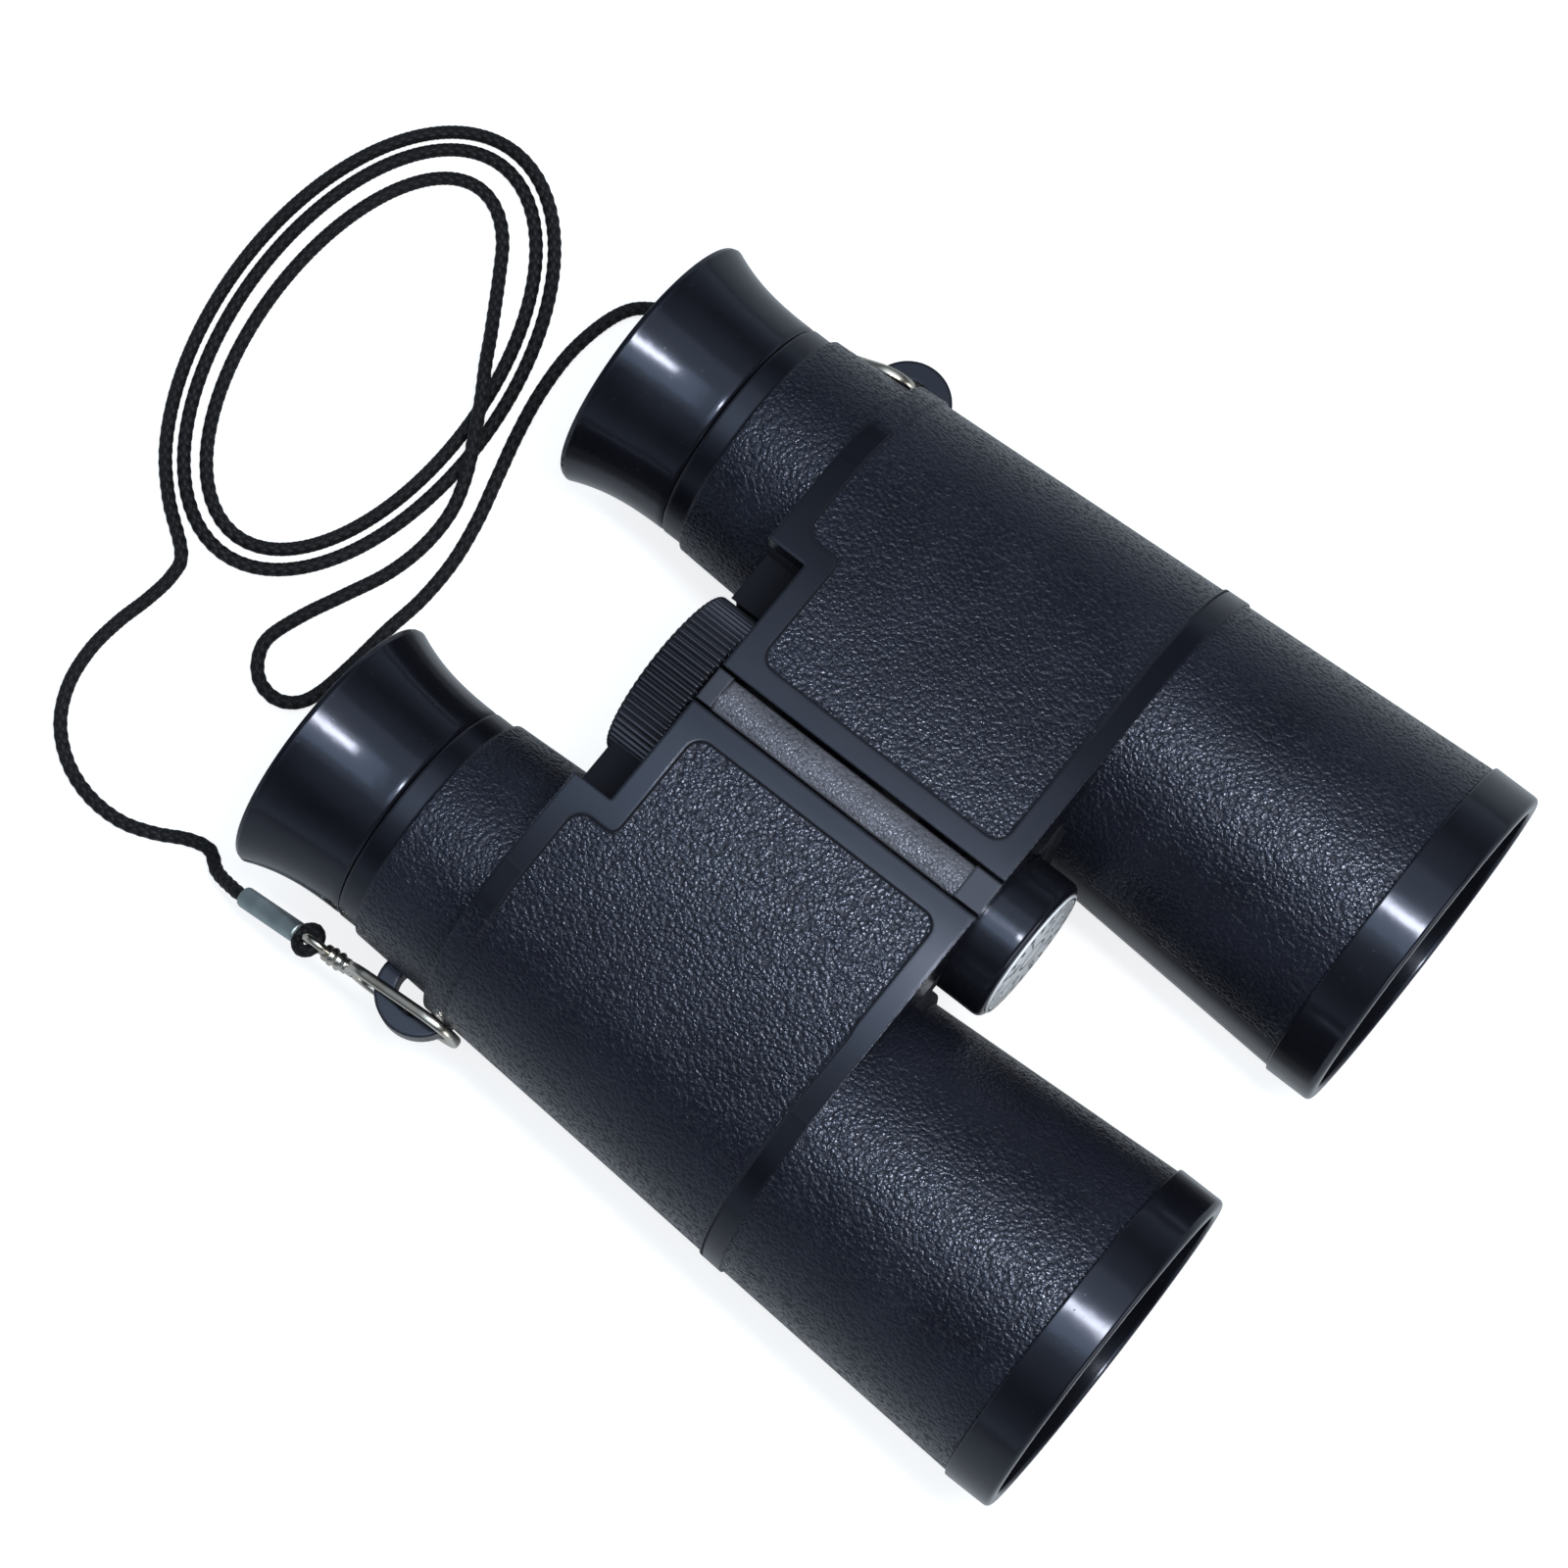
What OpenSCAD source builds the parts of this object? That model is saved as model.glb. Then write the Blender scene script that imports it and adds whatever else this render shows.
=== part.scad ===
// Toy binoculars with a neck cord: two hinged barrels, a centre focus wheel and sliding eyepieces.
// The objectives face -Y, the eyepieces +Y, and +X is the barrel for the user's left eye.

/* [Barrels] */
// Distance between the two optical axes
barrel_spacing = 60; // [59:0.5:64]
// Thickness of the moulded shells
wall = 1.8; // [1.5:0.1:2]
// Length of the bare objective tube in front of the housing
front_tube_l = 34.5; // [30:0.5:40]
// Radius of the objective tube at its ring
front_tube_r = 21.6; // [21.4:0.1:21.8]
// Radius of the objective tube where it meets the housing
waist_r = 19.6; // [19.2:0.1:19.8]
// Length of the bare eyepiece tube behind the housing
rear_tube_l = 11.8; // [11:0.2:14]
// Radius of the eyepiece tube at the housing
rear_tube_r = 16.2; // [16:0.1:16.6]
// Radius of the eyepiece tube at its collar
rear_end_r = 15.5; // [15.3:0.1:15.8]
// Radius of the smooth collar behind the eyepiece tube
collar_r = 14.95; // [14.7:0.05:15.2]
// Length of the smooth collar
collar_l = 3; // [2:0.2:4]

/* [Housing] */
// Length of the housing along the barrel
housing_l = 46.2; // [45:0.2:48]
// Radius of the housing's round outer side
housing_r = 20.25; // [20.15:0.05:20.4]
// Height of the flat top above the optical axis
housing_top = 20; // [19.8:0.05:20]
// Thickness of the web that reaches from the barrel to the hinge
web_t = 11; // [10.5:0.1:11.4]
// Half of the gap between the two webs
web_x = 2.6; // [2.5:0.1:2.8]
// Depth of the notch behind the webs, where the focus wheel turns
notch_d = 5.3; // [5:0.1:6]
// Distance of the notch's side wall from the optical axis
notch_inset = 12.4; // [12:0.1:13]
// How far the housing's axis lies inside the optical axis at its front
front_inset = 0.35; // [0.2:0.05:0.5]
// How far the housing's axis lies inside the optical axis at its rear
rear_inset = 3; // [2.6:0.1:3.2]
// Width of the smooth border round the grained panel
border_w = 3; // [2.5:0.1:3.5]
// How far the grained panel lies below its border
panel_drop = 0.3; // [0.2:0.05:0.4]
// Radius of the grained panel's corners
panel_corner_r = 2; // [1.5:0.1:2.5]
// Height of the low shoulder beside the focus wheel above the optical axis
shoulder_h = 12; // [11:0.5:13]
// Depth of that shoulder below the optical axis
shoulder_low = 5; // [4:0.5:6]

/* [Objectives] */
// How far the objective ring stands out past its tube
ring_proud = 0.4; // [0.3:0.1:0.6]
// Length of the objective ring that shows
ring_l = 6.3; // [5:0.1:8]
// Wall of the objective ring in front of its lens
ring_wall = 2; // [1.7:0.1:2.3]
// Thickness of the ring's floor in front of the lens seat
ring_floor = 1.5; // [1.2:0.1:2]
// Edge thickness of the objective lens
lens_edge = 2.4; // [2:0.1:3]
// How far the objective lens bulges forward
lens_bulge = 1.6; // [1:0.1:2]

/* [Eyepieces] */
// Length of the eyecup
eyecup_l = 14; // [12:0.5:16]
// Radius of the eyecup's rim
eyecup_rim_r = 17.1; // [16.5:0.1:17.5]
// Radius of the eyecup where it meets the collar
eyecup_neck_r = 14.9; // [14.6:0.05:15.2]
// Radius of the bore that the eyepiece slides in
eye_bore_r = 13; // [12.8:0.05:13.1]
// Wall of the sliding eyepiece tube
eye_tube_wall = 1.5; // [1.2:0.1:1.7]
// Focus travel of the eyepieces
focus_travel = 4; // [3:0.25:4.25]

/* [Hinge] */
// Height of the hinge axis above the optical axes
hinge_rise = 8; // [7.8:0.1:8.2]
// Radius of the steel hinge axle
axle_r = 1.5; // [1.4:0.05:1.6]
// Radius of the hinge ears
ear_r = 4.5; // [4.2:0.1:4.6]
// Gap between the two pairs of hinge ears
ear_gap = 6.4; // [6.4:0.2:8]
// Half width of the strip between the webs
strip_x = 2.2; // [2:0.05:2.25]

/* [Focus wheel and dial] */
// Gap between the focus wheel's ribs and the eyepiece tubes
wheel_gap = 3.75; // [3.55:0.05:4.3]
// Width of the focus wheel
wheel_w = 6.5; // [6:0.1:7]
// Number of ribs on the focus wheel
wheel_ribs = 66; // [50:1:72]
// Depth of the grooves between the ribs
rib_d = 0.6; // [0.4:0.05:0.8]
// Radius of the focus screw
screw_r = 3; // [2.8:0.1:3.2]
// Gap between the dial and the objective tubes
dial_gap = 1.6; // [1.3:0.05:2]
// Length of the dial
dial_l = 9; // [8.5:0.1:10]
// How far the dial sits in the front of the housing
dial_inset = 3; // [2.6:0.1:3.2]

/* [Strap] */
// Outer radius of the moulded strap loop
lug_r = 5.4; // [5.2:0.1:5.6]
// Radius of the hole in the strap loop
lug_hole_r = 2.9; // [2.8:0.05:3]
// Thickness of the strap loop
lug_t = 3; // [2.6:0.1:3.1]
// How far the strap loop lies below the optical axis
lug_drop = 5; // [4.5:0.1:5.5]
// Wire radius of the snap clip
clip_wire_r = 0.55; // [0.5:0.05:0.6]
// Outer radius of the crimped ferrule
ferrule_r = 1.35; // [1.2:0.05:1.5]
// Diameter of the neck cord
cord_d = 1.8; // [1.6:0.1:2]
// Loops in the coil of cord, counted along the cord
coil_loops = 2.55; // [2.5:0.05:2.6]
// Half of the coil's long side, in the middle of the outer loop
coil_half_l = 33.2; // [32.6:0.2:33.6]
// Half of the coil's short side, in the middle of the outer loop
coil_half_w = 20.2; // [19.8:0.2:20.4]
// Step from one loop of the coil to the next
coil_step = 2.4; // [2.35:0.05:2.5]

/* [Hidden] */
$fn = 96;

// Colours of the pieces
black = [0.07, 0.07, 0.085];
gloss_black = [0.05, 0.05, 0.06];
glass_tint = [0.62, 0.7, 0.78, 0.5];
steel = [0.72, 0.72, 0.73];
label_white = [0.85, 0.86, 0.88];
ferrule_grey = [0.48, 0.5, 0.51];
cord_black = [0.06, 0.06, 0.07];

// Clearances
overrun = 1;
end_gap = 0.2;
side_gap = 0.3;
running_gap = 0.06;
press_gap = 0.02;
turn_gap = 0.5;

// Places along the barrel, from the objective's front face to the eyecup's rim
overall_l = ring_l + front_tube_l + housing_l + rear_tube_l + collar_l + end_gap + eyecup_l;
ring_front_y = -overall_l / 2;
ring_back_y = ring_front_y + ring_l;
housing_front_y = ring_back_y + front_tube_l;
housing_back_y = housing_front_y + housing_l;
notch_y = housing_back_y - notch_d;
collar_y = housing_back_y + rear_tube_l;
collar_end_y = collar_y + collar_l;
eyecup_y = collar_end_y + end_gap;

// Places across the part; the objective rings rest on the table
ring_r = front_tube_r + ring_proud;
hood_r = ring_r - ring_wall;
axis_z = ring_r;
barrel_x = barrel_spacing / 2;
notch_x = barrel_x - notch_inset;
hinge_reach = norm([barrel_x, hinge_rise]);
hinge_z = axis_z + hinge_rise;
top_z = axis_z + housing_top;
web_z = top_z - web_t;
housing_front_x = barrel_x - front_inset;
housing_back_x = barrel_x - rear_inset;
housing_slant = atan((rear_inset - front_inset) / housing_l);
reach_x = barrel_x + ring_r + overrun;

// Places of the grained panel inside its border
panel_x = web_x + border_w;
panel_front_y = housing_front_y + border_w;
panel_notch_y = notch_y - border_w;
panel_notch_x = notch_x + border_w;
panel_back_y = housing_back_y - border_w;
panel_low_z = web_z + wall;
panel_under_z = hinge_z - overrun;

// Screws that hold a top and a bottom shell together
boss_r = 2.8;
boss_inset = 4.6;
boss_ahead = 7.2;
boss_behind = 3.8;
boss_reach = 9;
shell_screw_r = 0.9;
shell_screw_gap = 0.05;
shell_screw_head_r = 1.8;
shell_screw_head_h = 1.8;
shell_screw_rise = 5.5;
shell_screw_seat = 9;

// Channel that the focus arms slide in, and the hinge ears along the axle in front of it
arm_t = 2.4;
channel_slack = 1.6;
channel_end_y = notch_y - wall;
channel_y = channel_end_y - 2 * arm_t - 3 * side_gap - focus_travel - channel_slack;
channel_x = notch_x + wall;
channel_h = 11;
channel_top_z = hinge_z + channel_h / 2;
strip_tab_l = 3.6;
plate_t = 2.4;
plate_y = housing_front_y + dial_inset + side_gap;
ear_first_y = plate_y + plate_t + side_gap;
ear_step = (channel_y - side_gap - ear_first_y - ear_gap) / 4;
ear_l = ear_step - side_gap;
ear_second_y = channel_y - side_gap - 2 * ear_step;
boss_ys = [housing_front_y + boss_ahead, channel_y - boss_r - boss_behind];
arm_ring_wall = 2;
arm_ring_r = screw_r + arm_ring_wall;
arm_h = 5;
arm_drop = 1;
screw_y = channel_y - side_gap;
right_arm_y = channel_y + 2 * side_gap;
left_arm_y = right_arm_y + arm_t + side_gap;
wheel_r = hinge_reach - rear_tube_r - wheel_gap;
wheel_y = notch_y + turn_gap;
wheel_back_y = wheel_y + wheel_w;

// Objective: spigot, seat and lens
spigot_l = 5.6;
spigot_gap = 0.175;
spigot_taper = max(front_tube_r - waist_r, 0) * spigot_l / front_tube_l;
spigot_r = front_tube_r - wall - spigot_taper - spigot_gap;
seat_wall = 1;
lip_h = 1.1;
seat_r = spigot_r - seat_wall;
lip_r = seat_r - lip_h;
lip_l = 1.5;
ring_edge = 0.8;
retainer_l = 1.6;
retainer_wall = 1.6;
lens_y = ring_back_y + lip_l;
lens_steps = 10;
lens_rim = 2;

// Eyepiece: socket, partition, aperture and lens
eye_tube_r = eye_bore_r - running_gap;
eye_tube_inner_r = eye_tube_r - eye_tube_wall;
socket_l = 3.6;
partition_t = 1.6;
aperture_r = 8.5;
cup_floor_r = 11.4;
cup_rim_wall = 1.5;
rim_edge = 0.7;
eye_lens_t = 2.3;
eye_lens_bulge = 1.2;
eye_retainer_l = 1.8;
eye_retainer_wall = 2.2;
eye_lens_rim = 3;
flare_steps = 14;
flare_power = 2.6;
socket_end_y = eyecup_y + socket_l;

// Dial, strip, wheel ribs and nut
dial_y = housing_front_y + dial_inset;
dial_tube_r = waist_r + (front_tube_r - waist_r) * (dial_l - dial_inset) / front_tube_l;
dial_r = hinge_reach - dial_tube_r - dial_gap;
dial_edge = 1.6;
dial_bore_l = 3.4;
label_margin = 1;
label_r = dial_r - label_margin;
label_t = 0.25;
strip_rear_tab_l = 2.1;
strip_crown = 0.5;
strip_drop = 0.6;
tab_drop = 0.1;
strip_low_z = channel_top_z;
plate_low = 2.4;
rib_shares = [0, 0.45, 0.6, 0.85];
nut_r = 2.8;
nut_l = 1.4;
nut_pocket_r = 3.6;
nut_pocket_l = 1.9;

// Strap loop, snap clip, cord loop and ferrule
lug_sink = 0.2;
lug_behind = 2.2;
lug_x = barrel_x + rear_tube_r - lug_sink;
lug_y = housing_back_y + lug_behind;
lug_z = axis_z - lug_drop;
clip_half_h = 3.6;
clip_jaw = 6.1;
clip_l = 18;
clip_bar_l = 12.6;
clip_eye_r = 1.7;
right_jaw_out = 2.05;
left_jaw_out = 1.2;
right_jaw_along = 3.3;
left_jaw_along = 3.7;
right_jaw_rise = 0.6;
right_clip_turn = [-14, 0, 2.5];
left_clip_turn = [-24, 0, 12];
right_ferrule_turn = [-29, 0, 1];
left_ferrule_turn = [-24, 0, 12];
cord_r = cord_d / 2;
loop_r = 1.5;
loop_wire_r = 0.8;
loop_slack = 0.2;
loop_sink = 0.6;
ferrule_l = 10.6;

// Route of the neck cord in millimetres, first the stretch from the right ferrule to the coil
right_route = [
    [-48.4, 63.2, 2.4], [-46.8, 66, 1.2], [-47.4, 69, 1], [-49.4, 72.8, 1], [-50.8, 77, 1], [-50.8, 82, 1],
    [-49.2, 86.8, 1], [-46, 90.8, 1], [-41.6, 93.2, 1], [-36.6, 94, 1], [-31.8, 93.6, 1], [-27.2, 92.6, 1],
    [-23.2, 92.2, 1], [-20.2, 93.2, 1]
];
// then the stretch from the coil over its own loops, round a bight, to the left ferrule
left_route = [
    [25.4, 81, 1.9], [21.6, 78.6, 3.2], [17.6, 76, 3.6], [13.4, 73.6, 3.6], [9, 71.4, 2.7], [4.4, 70.2, 1.4],
    [-1, 70.2, 1], [-6.4, 71.4, 1], [-11.8, 73.8, 1], [-17, 76.2, 1], [-21.8, 77.7, 1], [-24.8, 76.9, 1],
    [-26.8, 74.8, 1], [-27.2, 71.9, 1], [-25.8, 69.5, 1], [-23, 68.2, 1], [-18, 67.4, 1], [-12, 66.8, 1],
    [-6.4, 66, 1], [-0.4, 66, 1], [5.6, 67, 1], [11.4, 68.6, 1], [17.2, 70.2, 1], [23.2, 71.4, 1],
    [29.4, 71.8, 1], [35, 71, 1], [38.6, 69.4, 1.2], [40.4, 66.6, 2.4]
];

// Coil of cord: an oval spiral that winds inwards on the table
coil_centre = [13.8, 91.9];
coil_tilt = 6;
coil_start = 150;
coil_spread = 2;
coil_spread_from = 1.5;
coil_rings = 24;
coil_sides = 6;
lead_sides = 8;
coil_steps = round(coil_loops * coil_rings);

// Small vector helpers
function unit(v) = v / norm(v);
function turned(v, a) = [v[0] * cos(a) - v[1] * sin(a), v[0] * sin(a) + v[1] * cos(a)];

// Points of the spiral, with a straight end of one cord diameter at both ends
function coil_point(t) =
    let(
        a = coil_start - 360 * t,
        inset = coil_step * t + coil_spread * pow(max(t - coil_spread_from, 0), 2),
        p = turned([(coil_half_l - inset) * cos(a), (coil_half_w - inset) * sin(a)], coil_tilt)
    )
    [coil_centre[0] + p[0], coil_centre[1] + p[1], cord_r];
coil_turns = [for (i = [0:coil_steps]) coil_point(i / coil_rings)];
coil_in = unit(coil_turns[1] - coil_turns[0]);
coil_out = unit(coil_turns[coil_steps] - coil_turns[coil_steps - 1]);
coil_first = coil_turns[0] - coil_in * cord_d;
coil_last = coil_turns[coil_steps] + coil_out * cord_d;
coil_path = concat([coil_first], coil_turns, [coil_last]);

// Least gap between the cord of the coil and itself, over points at least half a loop apart
coil_gap = min([
    for (i = [0:coil_steps])
        for (j = [i + coil_rings / 2:coil_steps])
            norm(coil_turns[i] - coil_turns[j])
]) - cord_d;
echo(least_gap_in_coil = coil_gap);

// Places of the clips, their cord loops and their ferrules; each runs along its own turned Y axis
function run(turn) = [-sin(turn[2]) * cos(turn[0]), cos(turn[2]) * cos(turn[0]), sin(turn[0])];
eye_along = clip_l + loop_slack;
loop_reach = loop_r + loop_wire_r - loop_sink;
right_clip_at = [-lug_x - right_jaw_out, lug_y - right_jaw_along, lug_z + right_jaw_rise];
left_clip_at = [lug_x + left_jaw_out, lug_y + left_jaw_along, lug_z];
right_loop_at = right_clip_at + run(right_clip_turn) * eye_along + run(right_ferrule_turn) * loop_r;
left_loop_at = left_clip_at + run(left_clip_turn) * eye_along + run(left_ferrule_turn) * loop_r;
right_ferrule_at = right_loop_at + run(right_ferrule_turn) * loop_reach;
left_ferrule_at = left_loop_at + run(left_ferrule_turn) * loop_reach;
right_cord_at = right_ferrule_at + run(right_ferrule_turn) * ferrule_l;
left_cord_at = left_ferrule_at + run(left_ferrule_turn) * ferrule_l;

// Smooth curve through the points of a route, with two steps between neighbours
function curve_point(a, b, c, d, u) =
    (b * 2 + (c - a) * u + (a * 2 - b * 5 + c * 4 - d) * u * u + (b * 3 - a - c * 3 + d) * u * u * u) / 2;
function smooth(p, steps) =
    let(last = len(p) - 1)
    concat(
        [
            for (i = [0:last - 1])
                for (k = [0:steps - 1])
                    curve_point(p[max(i - 1, 0)], p[i], p[i + 1], p[min(i + 2, last)], k / steps)
        ],
        [p[last]]
    );
right_lead = concat(
    [right_cord_at, right_cord_at + run(right_ferrule_turn) * cord_d],
    right_route,
    [coil_first - coil_in * cord_d, coil_first]
);
left_lead = concat(
    [coil_last, coil_last + coil_out * cord_d],
    smooth(left_route, 2),
    [left_cord_at + run(left_ferrule_turn) * cord_d, left_cord_at]
);

// Tube of round section along a path, as one closed body of triangles
module tube(path, r, sides) {
    last = len(path) - 1;
    rings = [
        for (i = [0:last])
            let(
                along = unit(path[min(i + 1, last)] - path[max(i - 1, 0)]),
                across = unit(cross([0, 0, 1], along)),
                up = cross(along, across)
            )
            for (k = [0:sides - 1])
                path[i] + (across * cos(360 * k / sides) + up * sin(360 * k / sides)) * r
    ];
    walls = [
        for (i = [0:last - 1])
            for (k = [0:sides - 1])
                let(a = i * sides + k, b = i * sides + (k + 1) % sides)
                each [[a, a + sides, b], [b, a + sides, b + sides]]
    ];
    front = [for (k = [1:sides - 2]) [0, k, k + 1]];
    back = [for (k = [1:sides - 2]) [last * sides, last * sides + k + 1, last * sides + k]];
    polyhedron(points = rings, faces = concat(walls, front, back));
}

// Cylinders and turned shapes along the barrel axis or the hinge axis
module on_y(x, y, z) {
    translate([x, y, z])
        rotate([-90, 0, 0])
            children();
}

module on_barrel(y) {
    on_y(barrel_x, y, axis_z)
        children();
}

module on_hinge(y) {
    on_y(0, y, hinge_z)
        children();
}

module pipe(h, outer, inner) {
    difference() {
        cylinder(h = h, r = outer);
        translate([0, 0, -overrun])
            cylinder(h = h + 2 * overrun, r = inner);
    }
}

module box(low, high) {
    translate(low)
        cube(high - low);
}

module right_side() {
    mirror([1, 0, 0])
        children();
}

// Housing: a slanted round side joined to a flat-topped web, cut back at the notch
module housing(drop) {
    difference() {
        intersection() {
            union() {
                housing_round(housing_r - drop);
                translate([0, 0, web_z])
                    linear_extrude(height = web_t + overrun)
                        polygon([
                            [web_x, housing_front_y - overrun],
                            [housing_front_x, housing_front_y - overrun],
                            [housing_back_x, housing_back_y + overrun],
                            [notch_x, housing_back_y + overrun],
                            [notch_x, notch_y],
                            [web_x, notch_y]
                        ]);
            }
            box(
                [0, housing_front_y, axis_z - housing_r - overrun],
                [reach_x, housing_back_y, top_z - drop]
            );
        }
        box(
            [-overrun, notch_y, axis_z - housing_r - overrun],
            [notch_x, housing_back_y + overrun, top_z + overrun]
        );
    }
}

module housing_round(r) {
    translate([housing_front_x, housing_front_y, axis_z])
        rotate([-90, 0, housing_slant])
            translate([0, 0, -2 * overrun])
                cylinder(h = housing_l + 4 * overrun, r = r);
}

// Flat outline with round corners
module rounded_rect(low, high, r) {
    translate([low[0] + r, low[1]])
        square([high[0] - low[0] - 2 * r, high[1] - low[1]]);
    translate([low[0], low[1] + r])
        square([high[0] - low[0], high[1] - low[1] - 2 * r]);
    for (x = [low[0] + r, high[0] - r])
        for (y = [low[1] + r, high[1] - r])
            translate([x, y])
                circle(r = r);
}

// Space over the grained panels, on the flat top and round the side
module panel_zone() {
    translate([0, 0, panel_low_z])
        linear_extrude(height = web_t)
            union() {
                rounded_rect([panel_x, panel_front_y], [reach_x, panel_notch_y], panel_corner_r);
                rounded_rect([panel_notch_x, panel_front_y], [reach_x, panel_back_y], panel_corner_r);
            }
    box([barrel_x, panel_front_y, -overrun], [reach_x, panel_back_y, panel_low_z + overrun]);
    box([0, panel_front_y, -overrun], [barrel_x + overrun, panel_notch_y, panel_under_z]);
}

module grained_housing() {
    difference() {
        housing(0);
        difference() {
            panel_zone();
            housing(panel_drop);
        }
    }
}

// Outside of one barrel with its housing, before it is hollowed
module barrel_skin() {
    on_barrel(ring_back_y)
        cylinder(h = front_tube_l + overrun, r1 = front_tube_r, r2 = waist_r);
    grained_housing();
    on_barrel(housing_back_y - wall)
        cylinder(h = rear_tube_l + wall, r1 = rear_tube_r, r2 = rear_end_r);
    on_barrel(collar_y - overrun)
        cylinder(h = collar_l + overrun, r = collar_r);
    shoulder();
    strap_lug();
}

// Low block between the eyepiece tube and the focus wheel
module shoulder() {
    difference() {
        box(
            [wheel_r - overrun, notch_y - wall, axis_z - shoulder_low],
            [notch_x + wall, housing_back_y + wall / 4, axis_z + shoulder_h]
        );
        on_hinge(notch_y - 2 * wall)
            cylinder(h = notch_d + 4 * wall, r = wheel_r + turn_gap);
    }
}

// Half ring on the outer side that the strap clip hooks into
module strap_lug() {
    translate([lug_x, lug_y, lug_z - lug_t / 2])
        pipe(lug_t, lug_r, lug_hole_r);
}

// Inside of one barrel: light path, housing cavity and the bore for the eyepiece
module barrel_core() {
    on_barrel(ring_back_y - overrun)
        cylinder(h = front_tube_l + wall + overrun, r1 = front_tube_r - wall, r2 = waist_r - wall);
    intersection() {
        housing_round(housing_r - panel_drop - wall);
        union() {
            box([0, housing_front_y, 0], [reach_x, notch_y - wall, 2 * axis_z]);
            box([notch_x + wall, housing_front_y, 0], [reach_x, housing_back_y - wall, 2 * axis_z]);
        }
    }
    box(
        [web_x + wall, housing_front_y + wall, web_z + wall],
        [housing_back_x - hinge_rise, channel_y - wall, top_z - panel_drop - wall]
    );
    on_barrel(channel_end_y - overrun)
        cylinder(h = collar_end_y - channel_end_y + 2 * overrun, r = eye_bore_r);
}

function housing_axis_x(y) = housing_front_x - tan(housing_slant) * (y - housing_front_y);

module at_screws() {
    for (y = boss_ys)
        for (side = [-1, 1])
            translate([housing_axis_x(y) + side * (housing_r - boss_inset - panel_drop), y, axis_z])
                children();
}

// One hollow barrel with screw bosses, before it is parted into a top and a bottom shell
module barrel_shell() {
    difference() {
        union() {
            difference() {
                barrel_skin();
                barrel_core();
            }
            intersection() {
                housing(panel_drop);
                at_screws()
                    translate([0, 0, -2 * boss_reach])
                        cylinder(h = 3 * boss_reach, r = boss_r);
            }
        }
        at_screws()
            shell_screw_hole();
        box([-overrun, channel_y, channel_top_z - channel_h], [channel_x, channel_end_y, channel_top_z]);
        on_hinge(screw_y - side_gap)
            cylinder(h = notch_y - screw_y + side_gap + overrun, r = screw_r + side_gap);
    }
}

module shell_screw_hole() {
    translate([0, 0, -2 * axis_z])
        cylinder(h = 2 * axis_z + shell_screw_rise + overrun / 2, r = shell_screw_r + shell_screw_gap);
    translate([0, 0, -2 * axis_z])
        cylinder(h = 2 * axis_z - shell_screw_seat, r = shell_screw_head_r + side_gap);
}

module shell_screws() {
    at_screws()
        translate([0, 0, -shell_screw_seat]) {
            cylinder(h = shell_screw_seat + shell_screw_rise, r = shell_screw_r);
            translate([0, 0, -shell_screw_head_h])
                cylinder(h = shell_screw_head_h, r = shell_screw_head_r);
        }
}

// Hinge ears of one half; the other half is cut clear of them
module ears(shift) {
    for (y = [ear_first_y, ear_second_y])
        on_hinge(y + shift) {
            cylinder(h = ear_l, r = ear_r);
            translate([0, -ear_r, 0])
                cube([web_x + wall, ear_r, ear_l]);
        }
}

module ear_pockets(shift) {
    for (y = [ear_first_y, ear_second_y])
        on_hinge(y + shift - side_gap)
            cylinder(h = ear_l + 2 * side_gap, r = ear_r + side_gap);
}

module upper_half() {
    box([-reach_x, ring_front_y - overrun, axis_z], [reach_x, -ring_front_y + overrun, 2 * axis_z + overrun]);
}

module lower_half() {
    box([-reach_x, ring_front_y - overrun, -overrun], [reach_x, -ring_front_y + overrun, axis_z]);
}

module top_shell(own, other, bore_gap) {
    difference() {
        union() {
            intersection() {
                barrel_shell();
                upper_half();
            }
            ears(own);
        }
        ear_pockets(other);
        on_hinge(housing_front_y - overrun)
            cylinder(h = housing_l, r = axle_r + bore_gap);
        on_hinge(housing_front_y - overrun)
            cylinder(h = dial_inset + side_gap + overrun, r = dial_r + side_gap);
    }
}

module bottom_shell() {
    intersection() {
        barrel_shell();
        lower_half();
    }
}

module left_top_shell() {
    color(black)
        top_shell(0, ear_step, running_gap);
}

module right_top_shell() {
    color(black)
        right_side()
            top_shell(ear_step, 0, press_gap);
}

module left_bottom_shell() {
    color(black)
        bottom_shell();
}

module right_bottom_shell() {
    color(black)
        right_side()
            bottom_shell();
}

module left_shell_screws() {
    color(steel)
        shell_screws();
}

module right_shell_screws() {
    color(steel)
        right_side()
            shell_screws();
}

// Objective ring: an open hood in front, a spigot with the lens seat behind
module objective_ring() {
    on_barrel(ring_front_y)
        rotate_extrude()
            polygon([
                [hood_r, 0],
                [ring_r - ring_edge, 0],
                [ring_r, ring_edge],
                [ring_r, ring_l],
                [spigot_r, ring_l],
                [spigot_r, ring_l + spigot_l],
                [seat_r, ring_l + spigot_l],
                [seat_r, ring_l + lip_l],
                [lip_r, ring_l + lip_l],
                [lip_r, ring_l - ring_floor],
                [hood_r, ring_l - ring_floor]
            ]);
}

// Lens with a bulging face towards local -Z inside a flat rim, and a flat face
module lens(r, edge, bulge, rim) {
    cap_r = r - rim;
    cap = [for (i = [0:lens_steps]) let(u = i / lens_steps) [cap_r * u, -bulge * (1 - u * u)]];
    rotate_extrude()
        polygon(concat(cap, [[r, 0], [r, edge], [0, edge]]));
}

module objective_lens() {
    on_barrel(lens_y)
        lens(seat_r - running_gap, lens_edge, lens_bulge, lens_rim);
}

module lens_retainer() {
    on_barrel(lens_y + lens_edge)
        pipe(retainer_l, seat_r - running_gap, seat_r - retainer_wall);
}

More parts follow.
